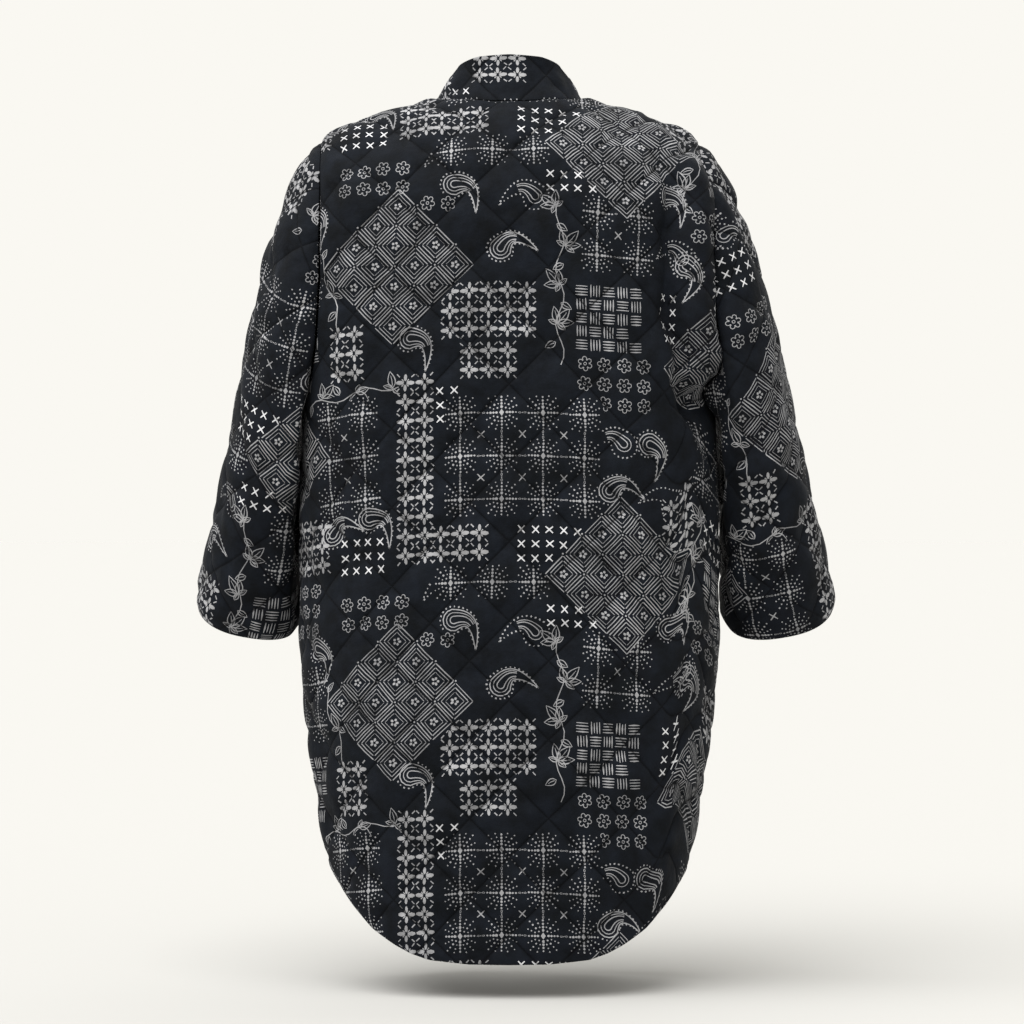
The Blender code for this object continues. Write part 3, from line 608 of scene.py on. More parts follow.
def starburst(reach_x, reach_y, rng):
    """Dotted star: a lozenge with rays of dots that shrink outwards, closest set upright and level."""
    shapes = [np.array([(-2.6, 0), (0, -3.8), (2.6, 0), (0, 3.8)])]
    for k in range(16):
        angle = k * math.pi / 8
        if k % 4 == 0:
            places, sizes, stretch = (0.30, 0.47, 0.64, 0.82), (1.6, 1.45, 1.3, 1.1), 1.15
        elif k % 2 == 0:
            places, sizes, stretch = (0.34, 0.58, 0.82, 1.06), (1.15, 1.2, 1.05, 0.9), 1.0
        else:
            places, sizes, stretch = (0.5, 0.72, 0.93), (0.95, 1.0, 0.95), 1.0
        for place, size in zip(places, sizes):
            shapes.append(dot(math.cos(angle) * reach_x * place, math.sin(angle) * reach_y * place,
                              size * rng.uniform(0.8, 1.1), 4 if k % 2 else 5, stretch, angle))
    return shapes


def cross(size, width, rng):
    """A stitched X of two bars."""
    shapes = []
    for turn in (math.pi / 4, -math.pi / 4):
        line = [(-size / 2, 0), (0, rng.uniform(-0.2, 0.2)), (size / 2, 0)]
        bar = stroke(line, (width * 0.7, width, width * 0.7))
        shapes += moved([bar], 0, 0, turn + rng.uniform(-0.08, 0.08))
    return shapes


def chain(rng):
    """Link between two stars: ring, lozenge, ring."""
    shapes = ring(-5.0, 0, 2.6, 1.3, 0.7) + ring(5.0, 0, 2.6, 1.3, 0.7)
    return shapes + [dot(0, 0, 1.3, 4, 1.0, rng.uniform(-0.1, 0.1))]


def in_rows(width, height, pitch_x, pitch_y):
    """Middles of a block of rows and columns."""
    columns, rows = max(1, round(width / pitch_x)), max(1, round(height / pitch_y))
    return [((i - (columns - 1) / 2) * pitch_x, (j - (rows - 1) / 2) * pitch_y, i, j)
            for i in range(columns) for j in range(rows)]


def stars(width, height, rng, pitch_x=44.0, pitch_y=46.0):
    """Block of dotted stars in rows, linked level and upright, with an X in each gap."""
    shapes = []
    for x, y, i, j in in_rows(width, height, pitch_x, pitch_y):
        shapes += moved(starburst(pitch_x * 0.42, pitch_y * 0.44, rng), x, y, rng.uniform(-0.05, 0.05))
        if i:
            shapes += moved(chain(rng), x - pitch_x / 2, y, rng.uniform(-0.06, 0.06), 0.55)
        if j:
            shapes += moved(chain(rng), x, y - pitch_y / 2, math.pi / 2, 0.6)
        if i and j:
            shapes += moved(cross(10.5, 1.4, rng), x - pitch_x / 2, y - pitch_y / 2)
    return shapes


def lozenge(half, rng):
    """One lozenge of the lattice: lines inside lines, and a small flower in the middle."""
    shapes = []
    for share, width in ((0.9, 1.0), (0.68, 0.85), (0.47, 0.5)):
        corner = half * share * np.array([(1, 0), (0, 1), (-1, 0), (0, -1)])
        for k in range(4):
            a, b = corner[k], corner[(k + 1) % 4]
            a, b = a + (b - a) * rng.uniform(0.0, 0.07), b + (a - b) * rng.uniform(0.0, 0.07)
            middle = (a + b) / 2 + rng.uniform(-0.35, 0.35, 2)
            shapes.append(stroke([a, middle, b], width * rng.uniform(0.75, 1.2)))
    for k in range(5):
        angle = k * 2 * math.pi / 5 + rng.uniform(-0.2, 0.2)
        shapes.append(dot(3.0 * math.cos(angle), 3.0 * math.sin(angle), 1.5, 5, rng.uniform(1.0, 1.4), angle))
    return shapes


def lozenge_block(across, rng, half=LOZENGE):
    """Lozenges set point to point in a block that itself stands on its point."""
    shapes = []
    for x, y, _, _ in in_rows(across, across, 1.0, 1.0):
        shapes += moved(lozenge(half, rng), (x - y) * half, (x + y) * half, rng.uniform(-0.03, 0.03))
        shapes.append(dot((x - y) * half, (x + y - 1) * half, 1.1, 5))
    return shapes


def petals(width, height, rng, pitch=20.5):
    """Lattice of flowers: two full petals level, two upright, and slanting strokes between the cells."""
    shapes = []
    for x, y, _, _ in in_rows(width, height, pitch, pitch):
        cell = []
        for k in range(4):
            angle = k * math.pi / 2 + rng.uniform(-0.08, 0.08)
            full, stretch = (0.115, 1.9) if k % 2 == 0 else (0.085, 2.2)
            c, s = math.cos(angle), math.sin(angle)
            cell.append(dot(c * pitch * 0.27, s * pitch * 0.27, pitch * full, 7, stretch, angle))
            angle += math.pi / 4
            c, s = math.cos(angle), math.sin(angle)
            cell.append(stroke([(c * 2.0, s * 2.0), (c * 5.2, s * 5.2)], (0.7, 1.3)))
            cell.append(stroke([(c * 8.6, s * 8.6), (c * 13.0, s * 13.0)], rng.uniform(1.0, 1.4)))
        shapes += moved(cell, x, y)
    return shapes


def crosses(width, height, rng, pitch=15.0):
    """Rows of stitched X marks."""
    shapes = []
    for x, y, _, _ in in_rows(width, height, pitch, pitch):
        shapes += moved(cross(10.5, 1.6, rng), x + rng.uniform(-0.6, 0.6), y + rng.uniform(-0.6, 0.6))
    return shapes


def rosettes(width, height, rng, pitch=21.0):
    """Rows of small flowers of six looped petals."""
    shapes = []
    for x, y, _, _ in in_rows(width, height, pitch, pitch):
        flower = ring(0, 0, 1.5, 1.5, 0.7)
        for k in range(6):
            loop = stroke(arc(7, -2.3, 2.3, 2.5, 2.3, 5.2), 0.8)
            flower += moved([loop], 0, 0, k * math.pi / 3)
        shapes += moved(flower, x + rng.uniform(-0.6, 0.6), y + rng.uniform(-0.6, 0.6), rng.uniform(0, 1))
    return shapes


def basket(width, height, rng, pitch=14.5):
    """Basket weave: bundles of four short dashes, level and upright in turn."""
    shapes = []
    for x, y, i, j in in_rows(width, height, pitch, pitch):
        if rng.uniform() < 0.07:
            continue
        bundle = []
        for k in range(4):
            place = (k - 1.5) * pitch * 0.21
            reach = pitch * rng.uniform(0.36, 0.46)
            bundle.append(stroke([(-reach, place), (0, place + rng.uniform(-0.2, 0.2)), (reach, place)],
                                 (0.7, rng.uniform(0.9, 1.8), 0.7)))
        shapes += moved(bundle, x, y, math.pi / 2 * ((i + j) % 2) + rng.uniform(-0.05, 0.05))
    return shapes


def paisley(rng, size=1.2):
    """Drop with a curled tail: the outline is an offset of a bent spine, drawn twice, with beads round it."""
    u = np.linspace(0, 1, 13)
    spine = np.stack([30 * u ** 1.1, -6 * np.sin(u * math.pi) + 15 * u ** 3.2], axis=1)
    half = 9.6 * (1 - u) ** 0.75 * (1 - 0.25 * u)
    along = unit(np.gradient(spine, axis=0))
    side = np.stack([-along[:, 1], along[:, 0]], axis=1)
    way = math.atan2(along[0, 1], along[0, 0])
    cap = np.linspace(math.pi / 2, 1.5 * math.pi, 8)[1:-1] + way

    def outline(share):
        keep = slice(0, 13 if share > 0.9 else 8)
        head = np.stack([np.cos(cap), np.sin(cap)], axis=1) * half[0] * share
        return np.concatenate([(spine + side * half[:, None] * share)[keep][::-1], spine[0] + head,
                               (spine - side * half[:, None] * share)[keep]])

    shapes = [stroke(outline(1.0), 0.95), stroke(outline(0.68), 0.7), stroke(outline(0.34), 0.9)]
    beads = outline(1.3)
    length = lengths_along(beads)
    for place in np.arange(2.0, length[-1] - 1, 4.0):
        shapes.append(dot(np.interp(place, length, beads[:, 0]), np.interp(place, length, beads[:, 1]),
                          0.8 * rng.uniform(0.8, 1.2), 4, 1.3, rng.uniform(0, 3)))
    return moved(shapes, -10 * size, 0, 0, size)


def leaf(length, width):
    """Leaf: two bowed sides from stem to tip and a rib."""
    u = np.linspace(0, 1, 6)
    bow = width / 2 * np.sin(u ** 0.8 * math.pi)
    return [stroke(np.stack([length * u, bow], axis=1), (0.6, 1.0, 1.2, 1.1, 0.9, 0.5)),
            stroke(np.stack([length * u, -bow], axis=1), (0.6, 0.9, 1.0, 0.9, 0.8, 0.5)),
            stroke([(length * 0.15, 0), (length * 0.45, 0.4), (length * 0.75, 0)], (0.9, 0.8, 0.4))]


def sprig(rng):
    """Three leaves as a cup and two lower ones on one node."""
    shapes = []
    for turn, length, width in ((0.0, 20, 9), (0.8, 17, 8), (-0.85, 17, 8), (1.75, 11, 5.5), (-1.9, 10, 5)):
        shapes += moved(leaf(length * rng.uniform(0.9, 1.1), width), 0, 0, turn + rng.uniform(-0.15, 0.15))
    return shapes


def vine(length, rng):
    """Waving stem with a sprig at each bend, one side after the other, and a bud between."""
    y = np.linspace(-length / 2, length / 2, max(10, int(length / 8)))
    shapes = [stroke(np.stack([4.5 * np.sin(y / 60 * 2 * math.pi), y], axis=1), 1.0)]
    for k, place in enumerate(np.arange(-length / 2 + 6, length / 2 - 4, 42.0)):
        x = 4.5 * math.sin(place / 60 * 2 * math.pi)
        side = 1 if k % 2 else -1
        way = (-0.9 if side > 0 else math.pi + 0.9) + rng.uniform(-0.15, 0.15)
        shapes += moved(sprig(rng), x + side * 2, place, way)
        shapes += moved(leaf(13, 7), x, place + 20, 0.5 if side < 0 else math.pi - 0.5)
    return shapes


# One repeat of the patchwork: kind, place across, place down, width, height, turn.
REPEAT = 465.0
PATCHES = [
    ("lozenges", -122, 44, 4, 0, 0.04), ("lozenges", 122, 374, 4, 0, -0.04),
    ("lozenges", 226, 150, 3, 0, 0.0), ("lozenges", -262, 240, 3, 0, 0.04),
    ("stars", 14, 252, 172, 136, 0), ("stars", 116, 12, 88, 92, 0.03), ("stars", -178, 246, 88, 136, -0.03),
    ("stars", -18, 386, 132, 46, 0), ("stars", 246, 268, 88, 92, 0), ("stars", -246, 40, 88, 92, 0),
    ("petals", -100, 262, 41, 205, 0), ("petals", -22, 96, 103, 62, 0), ("petals", -22, 150, 62, 41, 0),
    ("petals", -52, 344, 62, 41, 0), ("petals", 262, 62, 62, 62, 0), ("petals", -240, 336, 82, 62, 0),
    ("petals", -176, 134, 41, 62, 0), ("petals", 186, 330, 41, 82, 0),
    ("crosses", 50, 338, 87, 58, 0), ("crosses", 178, 96, 29, 58, 0.04), ("crosses", -160, 352, 58, 44, 0),
    ("crosses", 250, 340, 58, 44, 0), ("crosses", 66, -44, 58, 29, 0), ("crosses", -66, 196, 29, 44, 0),
    ("baskets", 106, 102, 68, 68, 0), ("baskets", -250, 132, 68, 68, 0), ("baskets", 262, 404, 68, 68, 0),
    ("rosettes", 112, 172, 80, 60, 0), ("rosettes", -146, -52, 80, 40, 0), ("rosettes", 246, -4, 80, 40, 0),
    ("rosettes", -246, 404, 60, 60, 0), ("rosettes", -76, -20, 40, 20, 0.1),
    ("vine", 54, 66, 176, 0, 0.0), ("vine", -172, 178, 110, 0, 1.45), ("vine", 208, 384, 110, 0, 0.15),
    ("vine", -196, 66, 90, 0, -0.3), ("vine", -296, 380, 120, 0, -0.2), ("vine", 300, 220, 120, 0, 0.1),
    ("vine", -60, 300, 90, 0, 1.6),
    ("paisley", -48, -34, 1, 0, 0.5), ("paisley", 16, -28, -1, 0, 0.2), ("paisley", 2, 26, 1, 0, -0.4),
    ("paisley", 110, 232, -1, 0, 0.2), ("paisley", 158, 242, 1, 0, 0.9), ("paisley", 118, 282, 1, 0, -0.3),
    ("paisley", 168, 292, -1, 0, 0.5), ("paisley", -186, 320, 1, 0, -0.5), ("paisley", 186, 26, -1, 0, 0.4),
    ("paisley", -66, 388, -1, 0, 0.1), ("paisley", 186, -30, 1, 0, 0.6), ("paisley", -140, 318, 1, 0, 0.5),
    ("paisley", 206, 50, 1, 0, 1.2), ("paisley", -214, -10, 1, 0, 0.9), ("paisley", -96, 130, 1, 0, 0.7),
]
DRAW = {
    "lozenges": lambda w, h, rng: lozenge_block(int(w), rng),
    "stars": stars, "petals": petals, "crosses": crosses, "baskets": basket, "rosettes": rosettes,
    "vine": lambda w, h, rng: vine(w, rng),
    "paisley": lambda w, h, rng: moved(paisley(rng), flip=w),
}


# Materials by number, after the dyed cloth itself. The stitched crosses are printed brightest.
GREY_PRINT, WHITE_PRINT, INSIDE = 1, 2, 3
BRIGHT = {"crosses": WHITE_PRINT}


def patchwork():
    """All shapes of one repeat and their tones; no patch runs over one laid before it."""
    rng = np.random.default_rng(7)
    shapes = []
    tones = []
    taken = []
    for kind, x, y, width, height, turn in PATCHES:
        for shape in moved(DRAW[kind](width, height, rng), x, y, turn):
            middle = shape.mean(axis=0)
            if not any(covers(place, middle) for place in taken):
                shapes.append(shape)
                tones.append(BRIGHT.get(kind, GREY_PRINT))
        taken.append((kind, x, y, width, height))
    return shapes, tones


def covers(place, point):
    """Whether a patch laid earlier, in this repeat or the ones beside it, already has this point."""
    kind, x, y, width, height = place
    across = abs(point[0] - x)
    down = abs((point[1] - y + REPEAT / 2) % REPEAT - REPEAT / 2)
    if kind == "lozenges":
        return across + down < width * LOZENGE
    if kind in ("vine", "paisley"):
        return False
    return across < width / 2 - 2 and down < height / 2 - 2


# Where the repeat starts on each piece: across, down, turned upside down, mirrored.
PRINT_START = {
    "back": (0, -8, 1, -1), "front_left": (160, 60, 1, 1), "front_right": (-190, 150, 1, 1),
    "sleeve_left": (40, 120, -1, 1), "sleeve_right": (-60, 300, -1, -1), "collar": (10, 190, -1, 1),
}


def print_for(name, polygon, artwork):
    """The repeat's shapes and tones laid over a piece, less those that miss it."""
    shapes, tones = artwork
    x, y, flip_y, flip_x = PRINT_START[name]
    low, high = polygon.min(axis=0) - 4, polygon.max(axis=0) + 4
    laid = []
    for k in range(-3, 5):
        for shape, tone in zip(shapes, tones):
            place = shape * (flip_x, flip_y) + (x, y + k * REPEAT)
            if (place.max(axis=0) > low).all() and (place.min(axis=0) < high).all():
                laid.append((place, tone))
    middles = np.array([place.mean(axis=0) for place, _ in laid])
    wanted = inside(polygon, middles) | (outline_distance(polygon, middles) < 8)
    return [one for one, use in zip(laid, wanted) if use]


def inside(polygon, points):
    """Which points lie inside a closed outline."""
    result = np.empty(len(points), bool)
    x0, y0 = polygon[:, 0][None], polygon[:, 1][None]
    x1, y1 = np.roll(polygon[:, 0], -1)[None], np.roll(polygon[:, 1], -1)[None]
    for start in range(0, len(points), 4000):
        part = points[start:start + 4000]
        x, y = part[:, 0][:, None], part[:, 1][:, None]
        crosses_row = (y0 > y) != (y1 > y)
        with np.errstate(divide="ignore", invalid="ignore"):
            at = x0 + (y - y0) * (x1 - x0) / (y1 - y0)
        result[start:start + 4000] = (crosses_row & (x < at)).sum(axis=1) % 2 == 1
    return result


def outline_distance(polygon, points):
    """Distance of each point from the outline, read from points set a millimetre apart along it."""
    share = np.arange(5)[:, None, None] / 5
    close = (polygon * (1 - share) + np.roll(polygon, -1, axis=0) * share).reshape(-1, 2)
    tree = KDTree(len(close))
    for k, (x, y) in enumerate(close.tolist()):
        tree.insert((x, y, 0), k)
    tree.balance()
    return np.array([tree.find((x, y, 0))[2] for x, y in points.tolist()])


# Small forms of the cloth, mm: rise and size of the puckers, of the low waves, and the turned edge's
# drop and width.
PUCKER_RISE, PUCKER_SIZE = 2.6, 22.0
WAVE_RISE, WAVE_SIZE = 2.6, 90.0
EDGE_DROP, EDGE_WIDTH = 1.5, 4.5
# Each wave: its run across and down, and a number that sets its length and its start.
WAVES = np.random.default_rng(3).uniform(-1, 1, (14, 3))


def crumple(flat, size):
    """Low uneven waves of cloth: a sum of sines in mixed directions."""
    total = np.zeros(len(flat))
    for k, (a, b, c) in enumerate(WAVES):
        reach = size * (0.7 + 0.6 * abs(c))
        total += np.sin((flat[:, 0] * a + flat[:, 1] * b) * 2 * math.pi / reach + c * 9 + k)
    return total / len(WAVES)


def relief(flat, name, near, fit):
    """Rise of the cloth: puffs between the quilt lines, as the root of crossed sines, with puckers beside
    the lines, low waves, a turned edge and the placed creases. A crease is a trough on a bell curve of
    the distance from its bent line, with a lower ridge beside it."""
    start = QUILT_START[name]
    u = (flat[:, 0] - start[0]) / DIAMOND
    v = (flat[:, 1] - start[1]) / DIAMOND
    swell = np.abs(np.sin(math.pi * (u + v)) * np.sin(math.pi * (u - v)))
    rise = PUFF * swell ** 0.55 * fit * smooth((near + 2) / 16)
    rise += PUCKER_RISE * crumple(flat, PUCKER_SIZE) * (1 - swell) * smooth(near / 12) * fit
    rise += WAVE_RISE * crumple(flat + 300, WAVE_SIZE) * smooth(near / 20) * fit
    rise -= EDGE_DROP * (1 - smooth(near / EDGE_WIDTH))
    for x0, y0, x1, y1, width, depth in CREASES[name]:
        way = np.array([x1 - x0, y1 - y0], float)
        length = np.linalg.norm(way)
        way /= length
        offset = flat - (x0, y0)
        along = offset @ way
        bend = width * 0.5 * np.sin(along / length * 3.0)
        apart = offset[:, 0] * way[1] - offset[:, 1] * way[0] - bend
        taper = smooth((along + 20) / 40) * smooth((length + 20 - along) / 40)
        trough = np.exp(-(apart / width) ** 2) - 0.7 * np.exp(-((apart - width * 1.7) / width) ** 2)
        rise -= depth * trough * taper * smooth(near / 14) * fit
    return rise


def twice_area(shape):
    """Twice the area of a closed outline, less than zero when its corners run clockwise."""
    x, y = shape[:, 0], shape[:, 1]
    return (x * np.roll(y, -1) - y * np.roll(x, -1)).sum()


def turned_left(shape):
    """A shape with its corners running one way round."""
    return shape if twice_area(shape) > 0 else shape[::-1]


def cut_flat(polygon, shapes, step, start, borders=()):
    """Triangles of a flat piece: its outline, relief points, quilt lines and print; and each one's tone."""
    low = np.floor((polygon.min(axis=0) - start) / step).astype(int)
    high = np.ceil((polygon.max(axis=0) - start) / step).astype(int)
    columns, rows = np.meshgrid(np.arange(low[0], high[0] + 1), np.arange(low[1], high[1] + 1))
    index = np.stack([columns.ravel(), rows.ravel()], axis=1)
    grid = index * step + start
    keep = inside(polygon, grid)
    index, grid = index[keep], grid[keep]
    clear = outline_distance(polygon, grid) > max(5.0 if len(borders) else step * 0.5, 2.0)
    index, grid = index[clear], grid[clear]
    count = len(polygon)
    every = [polygon, grid]
    edges = []
    if len(borders):
        number = -np.ones((high - low + 1), int)
        number[index[:, 0] - low[0], index[:, 1] - low[1]] = np.arange(len(index)) + count
        for side in (1, -1):
            on_line = (index[:, 0] - side * index[:, 1]) % STEPS == 0
            a = index[on_line]
            b = a + (side, 1)
            ok = (b[:, 0] >= low[0]) & (b[:, 0] <= high[0]) & (b[:, 1] <= high[1])
            a, b = a[ok], b[ok]
            pair = np.stack([number[a[:, 0] - low[0], a[:, 1] - low[1]],
                             number[b[:, 0] - low[0], b[:, 1] - low[1]]], axis=1)
            edges += pair[(pair >= 0).all(axis=1)].tolist()
        every += list(borders)
    total = sum(len(part) for part in every)
    faces = [list(range(count))]
    tones = [0]
    for shape, tone in shapes:
        tones.append(tone)
        faces.append(list(range(total, total + len(shape))))
        every.append(turned_left(shape))
        total += len(shape)
    result = delaunay_2d_cdt(np.concatenate(every).tolist(), edges, faces, 1, 1e-4, True)
    places = np.array([tuple(place) for place in result[0]])
    cut = np.array([list(face) for face in result[2]])
    tone = np.array([max([tones[k] for k in origin], default=0) for origin in result[5]])
    corner = places[cut]
    sides = corner[:, 1:] - corner[:, :1]
    area = (sides[:, 0, 0] * sides[:, 1, 1] - sides[:, 0, 1] * sides[:, 1, 0]) / 2
    keep = inside(polygon, corner.mean(axis=1)) & (np.abs(area) > 1e-5)
    return places, cut[keep], tone[keep]


def rim_loop(faces):
    """Edges with one face only, in that face's order."""
    edges = np.concatenate([faces[:, [0, 1]], faces[:, [1, 2]], faces[:, [2, 0]]])
    size = int(faces.max()) + 1
    code = edges[:, 0] * size + edges[:, 1]
    back = edges[:, 1] * size + edges[:, 0]
    return edges[~np.isin(code, back)]


def ordered(loop):
    """The rim's points in order round the piece."""
    following = dict(loop.tolist())
    start = int(loop[0, 0])
    line = [start]
    while following[line[-1]] != start:
        line.append(following[line[-1]])
    return np.array(line)


def lay(cloth, flat, name, polygon):
    """Points, surface normals and rises of flat places on their cloth."""
    at = cloth.find(flat)
    points = cloth.sample(cloth.points, at)
    normals = unit(cloth.sample(cloth.normals, at))
    across = unit(cloth.sample(cloth.across_way, at))
    down = unit(cloth.sample(cloth.down_way, at))
    near = outline_distance(polygon, flat)
    fit = room(points)
    rise = relief(flat, name, near, fit)
    small = 0.4
    slope = []
    for move in ((small, 0), (0, small)):
        ahead, behind = flat + move, flat - move
        slope.append((relief(ahead, name, near, fit) - relief(behind, name, near, fit)) / (2 * small))
    shading = unit(normals - across * slope[0][:, None] - down * slope[1][:, None])
    return points, normals, rise, shading


def wall(name, cloth, polygon, artwork, materials):
    """One panel as a closed wall: printed and quilted outside, plain inside, with a narrow rim."""
    inward = []
    along = unit(np.roll(polygon, -1, axis=0) - np.roll(polygon, 1, axis=0))
    side = np.stack([-along[:, 1], along[:, 0]], axis=1)
    if inside(polygon, polygon + side * 1.5).mean() < 0.5:
        side = -side
    for depth in (1.3, 3.0):
        line = polygon + side * depth
        inward.append(line[inside(polygon, line) & (outline_distance(polygon, line) > depth * 0.8)])
    start = np.array(QUILT_START[name], float)
    flat, faces, tone = cut_flat(polygon, print_for(name, polygon, artwork), STEP, start, inward)
    used = np.unique(faces)
    renumber = np.zeros(len(flat), int)
    renumber[used] = np.arange(len(used))
    flat, faces = flat[used], renumber[faces]
    points, normals, rise, shading = lay(cloth, flat, name, polygon)
    facing = np.cross(points[faces[:, 1]] - points[faces[:, 0]], points[faces[:, 2]] - points[faces[:, 0]])
    loop = ordered(rim_loop(faces))
    inner_flat, inner_faces, _ = cut_flat(flat[loop], [], LINING_STEP, start)
    if (facing * normals[faces[:, 0]]).sum() < 0:
        faces = faces[:, ::-1]
        inner_faces = inner_faces[:, ::-1]
    inner_points, inner_normals, _, _ = lay(cloth, inner_flat, name, polygon)
    # The rim points of both sides are the same flat places, found again by their numbers.
    same = np.abs(inner_flat[:len(loop)] - flat[loop]).max()
    if same > 0.01:
        raise ValueError(f"{name}: the lining's rim doesn't match the outside")
    rim = rim_loop(faces)
    partner = -np.ones(len(flat), int)
    partner[loop] = np.arange(len(loop))
    pull = np.zeros_like(points)
    for a, b in ((rim[:, 0], rim[:, 1]), (rim[:, 1], rim[:, 0])):
        way = points[rim[:, 1]] - points[rim[:, 0]]
        np.add.at(pull, a, unit(np.cross(normals[a], way)))
    pull = unit(pull) * SEAM_HALF_GAP * (np.linalg.norm(pull, axis=1, keepdims=True) > 0)
    outer = points + pull + normals * rise[:, None]
    inner = inner_points - inner_normals * LINING_DEPTH
    inner[:len(loop)] = points[loop] + pull[loop] - normals[loop] * LINING_DEPTH
    count = len(outer)
    a, b = rim[:, 0], rim[:, 1]
    across_a, across_b = partner[a] + count, partner[b] + count
    rim_faces = np.concatenate([
        np.stack([b, a, across_a], axis=1), np.stack([b, across_a, across_b], axis=1)])
    every = np.concatenate([faces, inner_faces[:, ::-1] + count, rim_faces])
    places = np.concatenate([outer, inner]) * MM
    mesh = bpy.data.meshes.new(name + " cloth")
    mesh.from_pydata(places.tolist(), [], every.tolist())
    kind = np.zeros(len(every), np.int32)
    kind[:len(faces)] = tone
    kind[len(faces):len(faces) + len(inner_faces)] = INSIDE
    for material in materials:
        mesh.materials.append(material)
    mesh.polygons.foreach_set("material_index", kind)
    mesh.polygons.foreach_set("use_smooth", np.ones(len(every), bool))
    corner_normals = np.empty((len(every), 3, 3))
    corner_normals[:len(faces)] = shading[faces]
    corner_normals[len(faces):len(faces) + len(inner_faces)] = -inner_normals[inner_faces[:, ::-1]]
    corner = places[rim_faces]
    corner_normals[len(faces) + len(inner_faces):] = unit(
        np.cross(corner[:, 1] - corner[:, 0], corner[:, 2] - corner[:, 0]))[:, None]
    own = mesh.attributes.new("custom_normal", "FLOAT_VECTOR", "CORNER")
    own.data.foreach_set("vector", corner_normals.ravel())
    uv = mesh.uv_layers.new(name="quilt")
    flat_all = (np.concatenate([flat, inner_flat]) - start) / DIAMOND
    uv.data.foreach_set("uv", flat_all[every].ravel())
    piece = bpy.data.objects.new(name + "_cloth", mesh)
    bpy.context.scene.collection.objects.link(piece)
    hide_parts(name)
    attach(piece, "root")


def colour(code):
    """sRGB hex to linear."""
    parts = [int(code[k:k + 2], 16) / 255 for k in (1, 3, 5)]
    return [c / 12.92 if c <= 0.04045 else ((c + 0.055) / 1.055) ** 2.4 for c in parts] + [1.0]


def node(tree, kind, settings=None, inputs=None):
    """Adds a node with its settings. Each input is a plain value or another node's output."""
    made = tree.nodes.new(kind)
    for name, value in (settings or {}).items():
        setattr(made, name, value)
    for place, value in (inputs or {}).items():
        if isinstance(value, bpy.types.NodeSocket):
            tree.links.new(value, made.inputs[place])
        else:
            made.inputs[place].default_value = value
    return made


# Quilt lines as the eye sees them, mm: half the groove, one stitch with its gap, the share of it that is
# thread, half the thread.
GROOVE_HALF, STITCH, STITCH_SHARE, THREAD_HALF = 3.5, 3.4, 0.68, 0.5
# How far apart the lines run, mm.
SPACING = DIAMOND / math.sqrt(2)
# How near the quilt lines a place lies, as sums in order: result, operation, terms. A soft groove is 1 on
# its line and falls to 0 beside it, and in it lie stitches. The lines of both slants are worked out alike.
QUILT_SUMS = [("rising", "ADD", "u", "v"), ("falling", "SUBTRACT", "u", "v")]
for across, along, slant in (("rising", "falling", " 1"), ("falling", "rising", " 2")):
    QUILT_SUMS += [
        ("moved" + slant, "ADD", across, 0.5),
        ("share" + slant, "FRACT", "moved" + slant),
        ("offset" + slant, "SUBTRACT", "share" + slant, 0.5),
        ("apart" + slant, "ABSOLUTE", "offset" + slant),
        ("away" + slant, "MULTIPLY", "apart" + slant, SPACING),
        ("reach" + slant, "DIVIDE", "away" + slant, GROOVE_HALF),
        ("within" + slant, "MINIMUM", "reach" + slant, 1.0),
        ("depth" + slant, "SUBTRACT", 1.0, "within" + slant),
        ("groove" + slant, "POWER", "depth" + slant, 2.2),
        ("beats" + slant, "MULTIPLY", along, SPACING / STITCH),
        ("beat" + slant, "FRACT", "beats" + slant),
        ("on" + slant, "LESS_THAN", "beat" + slant, STITCH_SHARE),
        ("near" + slant, "LESS_THAN", "away" + slant, THREAD_HALF),
        ("stitch" + slant, "MULTIPLY", "on" + slant, "near" + slant),
    ]
# Grooves sink and threads stand up a little. Both darken the colour: in the grooves it is painted shade, as
# if the sunk line lay in shadow, and on the stitches it is the dark thread. The rise that they are added to
# is the fine puckers' own, which plain cloth has too.
PUCKER_SUMS = [("rise", "MULTIPLY", "pucker", 1.6)]
QUILT_SUMS += [
    ("groove", "MAXIMUM", "groove 1", "groove 2"),
    ("stitch", "MAXIMUM", "stitch 1", "stitch 2"),
    ("groove drop", "MULTIPLY", "groove", 1.5),
    ("sunk", "SUBTRACT", "rise", "groove drop"),
    ("thread rise", "MULTIPLY", "stitch", 0.35),
    ("rise", "ADD", "sunk", "thread rise"),
    # Painted shade: the groove darkens the cloth's colour as if the sunk line lay in shadow.
    ("painted groove shade", "MULTIPLY", "groove", 0.62),
    ("thread shade", "MULTIPLY", "stitch", 0.8),
    ("shade", "MAXIMUM", "painted groove shade", "thread shade"),
]

# How many to the metre: clouds of dye 29 mm wide, fine puckers 9 mm wide, and the weave's grain. Its
# threads are about 0.4 mm apart, and the grain is drawn at 1.2 mm so that it shows.
CLOUDS, PUCKERS, GRAINS = 34.0, 110.0, 830.0


